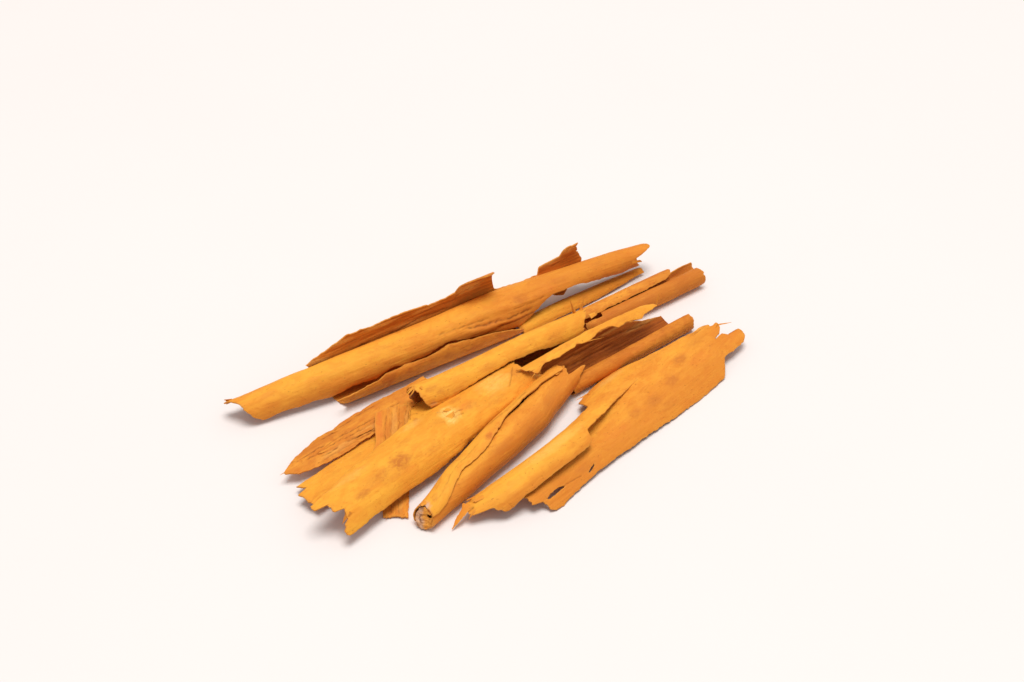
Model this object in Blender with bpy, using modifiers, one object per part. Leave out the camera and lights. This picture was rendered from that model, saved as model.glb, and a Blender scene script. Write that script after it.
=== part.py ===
"""A low pile of rolled, split and torn cinnamon bark sticks, lying as it was put down.

Every stick is one thin bark sheet.  A sheet is laid out flat in two coordinates,
t along the grain (0 at its -X end, 1 at its +X end) and w across it in
millimetres (w = 0 on the stick's spine, negative to the back edge, positive to
the front edge), with its own torn outline.  It is then rolled up by its curvature
across the grain: a negative curvature bends both edges down (a half tube lying
on its edges), a positive one bends them up (a gutter), and enough of it rolls
the edge into a scroll.  Curvature, outline and roll angle change along the stick.

Tables are in millimetres and degrees, the scene in metres.  +X runs along the
sticks, +Y to the back of the pile, +Z up.
"""
import math

import bmesh
import bpy
import numpy as np

MM = 0.001
PILE = "cinnamon_stick_stack"
BARK = 0.5             # thickness of a bark sheet

# linear base colour and roughness of each finish
BARKS = {
    "golden": ((0.82, 0.42, 0.09), 0.70),
    "tawny": ((0.72, 0.30, 0.06), 0.72),
    "russet": ((0.52, 0.18, 0.045), 0.75),
}


def half_tube(*stations):
    """Bend table of a sheet whose edges turn down, from its (t, radius) stations."""
    return tuple((t, ((0.0, -1.0 / radius),)) for t, radius in stations)


def scroll(outer, inner):
    """Curvatures of a sheet that rolls upwards into a tube, its front edge tucked inside."""
    return ((-30.0, 1.0 / outer), (-1.0, 1.0 / outer), (1.0, 1.0 / inner), (20.0, 1.0 / inner))


STICKS = {
    # the longest stick, a half tube that lies in the gutter behind the pile
    "long_inner_quill": dict(
        at=(-50.5, 29.6, 8.6), heading=-9.6, pitch=-0.35, length=118.0, finish="golden",
        rows=19, columns=10,
        arch=((0, -0.6), (0.25, 0.2), (0.45, 0.5), (0.6, 1.6), (0.75, 1.4), (0.9, 0.9), (1, -0.2)),
        bend=half_tube((0, 3.9), (0.2, 4.6), (0.35, 5.0), (0.58, 6.0), (0.72, 4.6), (0.88, 3.0), (1, 2.6)),
        back=((0, -4.5), (0.1, -4.3), (0.14, -2.4), (0.2, -2.4), (0.3, -2.7), (0.5, -3.4), (0.64, -3.4), (0.75, -3.0), (1, -2.6)),
        front=((0, 7.2), (0.25, 8.8), (0.45, 9.2), (0.54, 9.0), (0.575, 12.0), (0.595, 12.2),
               (0.62, 9.8), (0.66, 8.6), (0.72, 7.8), (0.85, 5.8), (1, 4.2)),
        left=((0, 3.5), (0.2, 1.0), (0.5, -0.3), (0.75, -1.2), (1, -2.2)),
        right=((0, 0.0), (0.35, 1.2), (0.45, 1.5), (0.55, -2.5), (1, -5.0))),
    # the gutter under it, open upwards, its back edge torn into two flaps
    "outer_gutter": dict(
        at=(-32.0, 22.0, 0.3), heading=-8.5, length=77.0, finish="tawny", on_table=True,
        rows=16, columns=12, marks=(0.51, 0.57, 0.67, 0.7, 0.85, 0.875),
        bend=((0, ((-16, 1 / 9.5), (-6, 1 / 9.5), (0, 1 / 6.0), (3, 1 / 4.4), (8, 1 / 4.4))),),
        back=((0, -11.5), (0.05, -13.0), (0.12, -15.2), (0.2, -15.7), (0.5, -15.6), (0.58, -17.0),
              (0.67, -20.6), (0.7, -9.0), (0.85, -9.0), (0.875, -14.0), (0.94, -16.0), (1, -17.5)),
        front=((0, 5.0), (0.1, 6.8), (0.25, 8.4), (0.46, 9.0), (0.51, 6.0), (0.57, -4.0), (1, -4.0)),
        left=((0, 1.0), (0.5, -1.0), (0.7, -3.0), (1, -7.0)),
        right=((0, 1.0), (0.4, 1.0), (0.6, -1.0), (1, -5.0))),
    # a slim half tube in front of the gutter's far end
    "slim_half_quill": dict(
        at=(20.8, 12.5, 2.6), heading=-4.0, pitch=-0.9, length=42.0, finish="golden", on_table=True,
        rows=12, columns=8,
        bend=half_tube((0, 1.9), (0.5, 1.6), (1, 1.2)),
        back=((0, -2.6), (1, -1.4)), front=((0, 3.1), (0.6, 2.4), (1, 1.2)),
        left=((0, 0.0), (1, -1.5))),
    # a half tube on top of the middle of the pile
    "middle_half_quill": dict(
        at=(-20.5, 1.6, 10.6), heading=-3.6, pitch=-1.6, length=53.5, finish="golden",
        rows=14, columns=10, arch=((0, 0.0), (0.6, 0.6), (1, 0.0)),
        bend=half_tube((0, 3.9), (0.5, 3.7), (1, 3.4)),
        back=((0, -6.5), (1, -5.0)),
        front=((0, 6.4), (0.12, 5.2), (0.2, 4.8), (0.45, 3.2), (0.6, 4.6), (1, 5.0)),
        left=((0, 1.5), (0.4, 0.5), (0.6, -1.0), (1, -2.5)),
        right=((0, 1.0), (0.5, 0.0), (1, -2.0))),
    # a sheet rolled in from both edges, its back roll shorter than its front one
    "back_scroll_quill": dict(
        at=(32.0, 1.1, 0.3), heading=-4.8, length=39.0, finish="tawny", on_table=True,
        rows=11, columns=20, marks=(0.77, 0.82),
        bend=((0, ((-11, 1 / 1.9), (-2.5, 1 / 1.9), (-1.5, 0.05), (1.5, 0.05), (2.5, 1 / 2.3), (14, 1 / 2.1))),),
        back=((0, -8.8), (0.77, -8.6), (0.82, -1.5), (1, -0.5)), front=((0, 10.6), (1, 10.4))),
    # a thin torn strip on the crest between two sticks
    "wavy_strip": dict(
        at=(5.0, -8.3, 9.0), heading=-3.0, pitch=-0.8, length=43.0, finish="golden", bark=0.45,
        rows=16, columns=4, arch=((0, 0.0), (0.3, 1.6), (0.6, 1.9), (0.85, 1.4), (1, 0.3)),
        bend=half_tube((0, 4.0)),
        back=((0, -1.6), (0.5, -1.2), (0.85, -2.0), (1, -0.5)),
        front=((0, 0.8), (0.2, 1.2), (0.35, 1.3), (0.5, 0.9), (0.6, 1.0), (0.8, 2.0), (1, 0.5)),
        left=((0, 1.5), (1, -2.0))),
    # a trough whose front edge is rolled into a tube and whose back edge stands up
    "open_trough_quill": dict(
        at=(14.0, -13.4, 0.3), heading=-1.5, length=41.0, finish="russet", on_table=True,
        rows=11, columns=20, marks=(0.87, 0.92),
        bend=((0, ((-12, 1 / 6.0), (-1.5, 1 / 6.0), (-0.5, 0.08), (1, 0.08), (1.6, 1 / 1.9), (14, 1 / 1.7))),),
        back=((0, -10.5), (0.45, -11.0), (0.62, -10.5), (0.87, -8.6), (0.92, -2.0), (1, -1.0)),
        front=((0, 10.4), (1, 10.4))),
    # the front half roll, open towards the back
    "broad_front_quill": dict(
        at=(-60.0, -12.6, 8.0), heading=6.4, length=68.0, finish="golden",
        rows=16, columns=12,
        bend=((0, ((-8, 0.0), (-3, -1 / 11.0), (0, -1 / 6.5), (4, -1 / 5.0), (12, -1 / 4.0))),
              (1, ((-8, -1 / 12.0), (12, -1 / 5.0)))),
        back=((0, -3.5), (0.1, -5.5), (0.3, -6.5), (0.42, -7.4), (0.52, -4.2), (1, -4.6)),
        front=((0, 11.2), (0.1, 10.7), (0.16, 10.1), (0.3, 9.9), (0.5, 9.2), (0.8, 6.4), (1, 4.0)),
        left=((0, 1.0), (0.12, 1.0), (0.25, -0.5), (0.33, -3.0), (0.5, -3.5), (0.62, -1.5), (0.8, -0.5), (1, -1.0)),
        right=((0, -2.0), (1, 2.0))),
    # a sheet under it
    "broad_under_sheet": dict(
        at=(-58.0, -3.9, 2.75), heading=4.0, pitch=0.3, length=50.0, finish="golden",
        rows=12, columns=6, bend=half_tube((0, 9.0)),
        back=((0, -4.4), (0.5, -4.2), (1, -3.5)), front=((0, 4.2), (0.16, 4.2), (0.24, 0.5), (1, 1.0)),
        left=((0, 0.5), (0.08, -1.5), (0.25, 0.5), (1, 1.5))),
    # a nearly flat, fibrous sheet that tapers to a point
    "flat_fibrous_sheet": dict(
        at=(-57.4, 6.8, 3.0), heading=1.0, pitch=1.8, length=46.0, finish="tawny",
        rows=13, columns=6, bend=half_tube((0, 14.0)),
        back=((0, -0.5), (0.08, -1.8), (0.18, -3.6), (0.4, -4.2), (1, -5.0)),
        front=((0, 0.5), (0.1, 2.0), (0.3, 3.4), (0.6, 3.4), (1, 3.6))),
    # a strip that lies across the others, from the table up over the flat sheet
    "cross_strip": dict(
        at=(-46.0, -20.5, 0.6), heading=50.0, length=34.6, finish="tawny",
        rows=14, columns=6, marks=(0.42, 0.5),
        arch=((0, 0.0), (0.28, 0.1), (0.42, 1.5), (0.515, 3.0), (0.586, 3.2), (0.66, 3.6), (0.85, 4.4), (1, 5.0)),
        roll=((0, 0.0), (0.3, 0.0), (0.46, 9.0), (0.8, 6.0), (1, 3.0)),
        bend=half_tube((0, 50.0)),
        back=((0, -3.0), (0.42, -3.4), (0.5, -8.4), (0.75, -6.4), (1, -5.0)),
        front=((0, 2.8), (0.6, 3.9), (1, 4.0)),
        right=((0, -2.0), (0.8, 0.5), (1, 0.5))),
    # a closed scroll that widens to its far end, its seam turning round it
    "tapered_roll_quill": dict(
        at=(-43.0, -27.0, 0.3), heading=13.6, pitch=0.6, length=56.5, finish="russet", on_table=True,
        rows=12, columns=18,
        bend=((0, scroll(2.75, 2.0)), (0.28, scroll(3.95, 3.1)), (0.6, scroll(4.95, 4.0)), (1, scroll(5.0, 4.1))),
        back=((0, -12.0), (0.28, -15.7), (0.6, -17.2), (1, -17.6)),
        front=((0, 5.6), (0.28, 9.2), (0.6, 13.0), (1, 13.0))),
    # a broad sheet lying in front, torn open from its near end: the back part of the
    # tear stands up in a lobe over the front part, and they join at its tip
    "torn_broad_quill": dict(
        at=(-36.0, -34.6, 4.4), heading=7.5, length=95.0, finish="golden",
        rows=22, columns=10, roll=((0, 3.0), (0.3, 2.0), (0.75, -2.0), (1, -2.0)), marks=(0.36, 0.40, 0.47, 0.49, 0.62, 0.87, 0.92),
        bend=((0, ((-12, -1 / 9.0), (-2, -1 / 18.0), (0, -0.01), (1.5, -1 / 17.0), (14, -1 / 17.0))),),
        panels=(
            dict(span=(0.0, 1.0), columns=6, tip=0.66,
                 bend=((0, ((0, -1 / 4.6),)), (0.36, ((0, -1 / 4.8),)),
                       (0.48, ((-12, -1 / 9.0), (-2, -1 / 12.0), (0, -0.08), (4, -0.1))),
                       (0.66, ((-12, -1 / 9.0), (-2, -1 / 18.0), (0, -0.01)))),
                 roll=((0, -15.0), (0.4, -10.0), (0.66, -1.6), (0.75, -2.0), (1, -2.0)),
                 back=((0, -4.5), (0.47, -4.0), (0.49, -10.0), (0.6, -9.4), (0.74, -6.5), (0.9, -3.0), (1, -1.5)),
                 front=((0, 5.0), (0.36, 5.6), (0.40, 2.6), (0.55, 1.6), (0.62, 0.3), (0.66, 0.0), (1, 0.0)),
                 shift_z=((0, 1.4), (0.13, 2.5), (0.32, 2.9), (0.42, 2.7), (0.66, 0.0)),
                 shift_y=((0, 0.6), (0.13, -0.8), (0.32, -1.4), (0.42, -1.4), (0.66, 0.0)),
                 left=((0, -1.0), (0.2, -1.0), (0.3, 2.5), (0.36, -0.5), (0.6, -1.5), (0.8, -2.0), (1, -4.0)),
                 right=((0, -2.0), (0.5, 1.0), (1, -3.0))),
            dict(span=(0.16, 1.0), columns=5,
                 back=((0.16, 3.0), (0.45, 3.0), (0.55, 2.0), (0.62, 1.3), (0.66, 0.0), (1, 0.0)),
                 front=((0, 11.8), (0.18, 11.8), (0.3, 11.0), (0.45, 11.2), (0.58, 12.4), (0.75, 13.4), (0.87, 13.0), (0.92, 9.0), (1, 7.5)),
                 left=((0, 0.0), (0.5, -1.0), (0.7, -2.0), (0.9, -3.0), (1, -5.0)),
                 right=((0, -3.0), (0.3, -3.5), (0.5, 0.0), (1, 1.5))),
        )),
}


# ---------------------------------------------------------------- shape functions
def smooth_table(table, t):
    """Smooth interpolation of ((t, value), ...) that never overshoots its values."""
    t = np.asarray(t, float)
    if not isinstance(table, tuple):
        return np.full_like(t, float(table))
    x = np.array([a for a, _ in table], float)
    y = np.array([b for _, b in table], float)
    h, slope = np.diff(x), np.diff(y) / np.diff(x)
    m = np.zeros_like(x)
    m[0], m[-1] = slope[0], slope[-1]
    for i in range(1, len(x) - 1):
        if slope[i - 1] * slope[i] > 0:
            m[i] = 2 * slope[i - 1] * slope[i] / (slope[i - 1] + slope[i])
    t = np.clip(t, x[0], x[-1])
    i = np.clip(np.searchsorted(x, t, side="right") - 1, 0, len(x) - 2)
    f = (t - x[i]) / h[i]
    return ((2 * f**3 - 3 * f**2 + 1) * y[i] + (f**3 - 2 * f**2 + f) * h[i] * m[i]
            + (3 * f**2 - 2 * f**3) * y[i + 1] + (f**3 - f**2) * h[i] * m[i + 1])


def straight_table(table, t):
    """Straight-line interpolation, for the angular outlines of torn edges."""
    t = np.asarray(t, float)
    if not isinstance(table, tuple):
        return np.full_like(t, float(table))
    return np.interp(t, [a for a, _ in table], [b for _, b in table])


def ease(a, b, x):
    f = np.clip((x - a) / (b - a), 0, 1)
    return f * f * (3 - 2 * f)


def curvature(bend, t, w):
    """Curvature across the sheet at the station t, at the places w."""
    rows = [np.interp(w, [q[0] for q in knots], [q[1] for q in knots]) for _, knots in bend]
    if len(rows) == 1:
        return rows[0]
    stations = [a for a, _ in bend]
    t = min(max(t, stations[0]), stations[-1])
    i = max(0, min(int(np.searchsorted(stations, t, side="right")) - 1, len(rows) - 2))
    f = ease(stations[i], stations[i + 1], t)
    return rows[i] * (1 - f) + rows[i + 1] * f


def cross_section(bend, t, w, steps=240):
    """The rolled section: y and z at the places w, with w = 0 at the origin and level."""
    grid = np.linspace(min(w.min(), 0.0) - 1e-6, max(w.max(), 0.0) + 1e-6, steps)
    k, step = curvature(bend, t, grid), grid[1] - grid[0]
    angle = np.concatenate([[0], np.cumsum((k[1:] + k[:-1]) / 2 * step)])
    angle -= np.interp(0.0, grid, angle)
    c, s = np.cos(angle), np.sin(angle)
    y = np.concatenate([[0], np.cumsum((c[1:] + c[:-1]) / 2 * step)])
    z = np.concatenate([[0], np.cumsum((s[1:] + s[:-1]) / 2 * step)])
    y, z = y - np.interp(0.0, grid, y), z - np.interp(0.0, grid, z)
    return -np.interp(w, grid, y), np.interp(w, grid, z)


def rolled(stick, panel, t, v):
    """The sheet's points at the station t, at the shares v from its back edge to its front edge."""
    own = {**stick, **panel}
    length = stick["length"]
    start, stop = own.get("span", (0.0, 1.0))
    back, front = straight_table(own["back"], t), straight_table(own["front"], t)
    w = back + (front - back) * v
    y, z = cross_section(own["bend"], t, w)
    if "tip" in own:                      # a torn lobe joins the whole sheet at its tip
        f = float(ease(own["tip"] - 0.2, own["tip"], t))
        y0, z0 = cross_section(stick["bend"], t, w)
        y, z = y * (1 - f) + y0 * f, z * (1 - f) + z0 * f
    turn = math.radians(float(smooth_table(own.get("roll", 0.0), t)))
    y, z = y * math.cos(turn) - z * math.sin(turn), y * math.sin(turn) + z * math.cos(turn)
    s = (length * t - straight_table(own.get("left", 0.0), v) * (1 - ease(start, start + 0.12, t))
         + straight_table(own.get("right", 0.0), v) * ease(stop - 0.12, stop, t))
    along = s / length
    y = y + smooth_table(own.get("shift_y", 0.0), along)
    z = z + smooth_table(own.get("arch", 0.0), along) + smooth_table(own.get("shift_z", 0.0), along)
    return np.stack([s, y, z], -1)


# ---------------------------------------------------------------- building
def bark_material(name, finish):
    colour, roughness = BARKS[finish]
    made = bpy.data.materials.new(name + "_bark")
    made.use_nodes = True
    shader = made.node_tree.nodes["Principled BSDF"]
    shader.inputs["Base Color"].default_value = (*colour, 1.0)
    shader.inputs["Roughness"].default_value = roughness
    shader.inputs["Metallic"].default_value = 0.0
    return made


def stations_of(stick, span):
    """The stations of a panel's rows: evenly spaced ones of the whole stick, its marks and the panel's ends."""
    start, stop = span
    even = {k / stick["rows"] for k in range(stick["rows"] + 1)}
    marks = set(stick.get("marks", ()))
    kept = [t for t in even if all(abs(t - m) > 0.012 for m in marks | {start, stop, *stick.get("tips", ())})]
    return sorted({start, stop} | {t for t in marks | set(kept) | set(stick.get("tips", ())) if start < t < stop})


def add_panel(bm, stick, panel):
    """One grid of the sheet, laid over its stations and rolled up."""
    stations = stations_of(stick, panel.get("span", (0.0, 1.0)))
    columns, rows = panel.get("columns", stick["columns"]), len(stations) - 1
    verts = bmesh.ops.create_grid(bm, x_segments=rows, y_segments=columns, size=1.0)["verts"]
    share = np.linspace(0, 1, columns + 1)
    placed = [rolled(stick, panel, t, share) for t in stations]
    for vert in verts:
        i = round((vert.co.x + 1) / 2 * rows)
        j = round((1 - vert.co.y) / 2 * columns)
        vert.co = placed[i][j]


def bark_sheet(name, stick, root, target):
    """A stick: its open sheet, thickened by Solidify, at its place in the pile."""
    bm = bmesh.new()
    for panel in stick.get("panels", ({},)):
        add_panel(bm, stick, panel)
    if "panels" in stick:                 # the panels of a torn sheet share their common edge
        bmesh.ops.remove_doubles(bm, verts=bm.verts, dist=0.02)
    bmesh.ops.scale(bm, vec=(MM, MM, MM), verts=bm.verts)
    mesh = bpy.data.meshes.new(name)
    bm.to_mesh(mesh)
    bm.free()
    mesh.shade_smooth()
    mesh.materials.append(bark_material(name, stick["finish"]))
    made = bpy.data.objects.new(name, mesh)
    target.objects.link(made)
    made.parent = root
    made.location = [q * MM for q in stick["at"]]
    made.rotation_euler = (0.0, -math.radians(stick.get("pitch", 0.0)), math.radians(stick["heading"]))
    shell = made.modifiers.new("bark thickness", "SOLIDIFY")
    shell.thickness = stick.get("bark", BARK) * MM
    shell.offset = 0.0
    return made


def corners(made):
    """The lowest and highest corner of the finished sticks, in world space."""
    bpy.context.view_layer.update()
    graph = bpy.context.evaluated_depsgraph_get()
    low, high = np.full(3, np.inf), np.full(3, -np.inf)
    for stick in made:
        evaluated = stick.evaluated_get(graph)
        points = np.array([evaluated.matrix_world @ v.co for v in evaluated.data.vertices])
        low, high = np.minimum(low, points.min(0)), np.maximum(high, points.max(0))
    return low, high


def main():
    for old in list(bpy.data.objects):
        bpy.data.objects.remove(old, do_unlink=True)
    target = bpy.data.collections.new(PILE)
    bpy.context.scene.collection.children.link(target)
    root = bpy.data.objects.new(PILE, None)
    target.objects.link(root)
    made = {name: bark_sheet(name, stick, root, target) for name, stick in STICKS.items()}
    for name, stick in STICKS.items():    # what lies on the table touches it
        if stick.get("on_table"):
            made[name].location.z -= corners([made[name]])[0][2]
    low, high = corners(made.values())    # the origin is under the middle of the pile
    root.location = (-(low[0] + high[0]) / 2, -(low[1] + high[1]) / 2, -low[2])


main()
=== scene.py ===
"""Looks of the pile of cinnamon sticks.

Every stick is one bark sheet, rolled up in the same way as its CAD solid but at full
detail: two skins with fibre relief, thin torn edges, nicks, splits, peeled layers and
loose splinters.  Lengths in the tables are millimetres; s runs along the grain from the
stick's -X end, w across it from the spine (minus to the back edge, plus to the front).
"""
import math

import bpy
import numpy as np
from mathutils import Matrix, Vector


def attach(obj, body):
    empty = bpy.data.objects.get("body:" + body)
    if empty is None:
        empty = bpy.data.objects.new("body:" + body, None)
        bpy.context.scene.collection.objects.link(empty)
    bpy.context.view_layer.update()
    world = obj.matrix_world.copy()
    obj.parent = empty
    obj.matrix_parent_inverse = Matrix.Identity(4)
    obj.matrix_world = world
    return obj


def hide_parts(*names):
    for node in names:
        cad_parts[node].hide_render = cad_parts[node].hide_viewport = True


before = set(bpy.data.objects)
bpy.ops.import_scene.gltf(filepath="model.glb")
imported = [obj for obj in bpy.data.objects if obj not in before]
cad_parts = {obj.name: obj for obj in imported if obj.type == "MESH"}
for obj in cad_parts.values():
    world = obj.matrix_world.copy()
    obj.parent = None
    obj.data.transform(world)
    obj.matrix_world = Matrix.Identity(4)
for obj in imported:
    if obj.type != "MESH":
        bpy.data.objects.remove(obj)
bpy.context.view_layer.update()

MM = 0.001
CENTRE = (-4.7616, 4.4805)      # where the pile's own axes start on the table
STEP_S, STEP_W = 0.34, 0.21     # size of a mesh cell along and across the grain
THICK = 0.50                    # bark thickness


def half_tube(*stations):
    """Bend table of a sheet whose edges turn down, from its (t, radius) stations."""
    return tuple((t, ((0.0, -1.0 / radius),)) for t, radius in stations)


def oval(wide, high, inset):
    """Curvatures of a sheet that rolls upwards into a flattened tube, its front edge tucked
    inside: half width, half height, and how much smaller the inner turn is."""
    knots = []
    for side, a, b in ((-1, wide, high), (1, wide - inset, high - inset)):
        angle = np.linspace(0.0, 2.6 * math.pi, 79)
        speed = np.hypot(a * np.cos(angle), b * np.sin(angle))
        way = np.concatenate([[0.0], np.cumsum((speed[1:] + speed[:-1]) / 2 * np.diff(angle))])
        knots += [(side * (x + 0.4), a * b / v**3) for x, v in zip(way, speed)]
    return tuple(sorted(knots))


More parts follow.
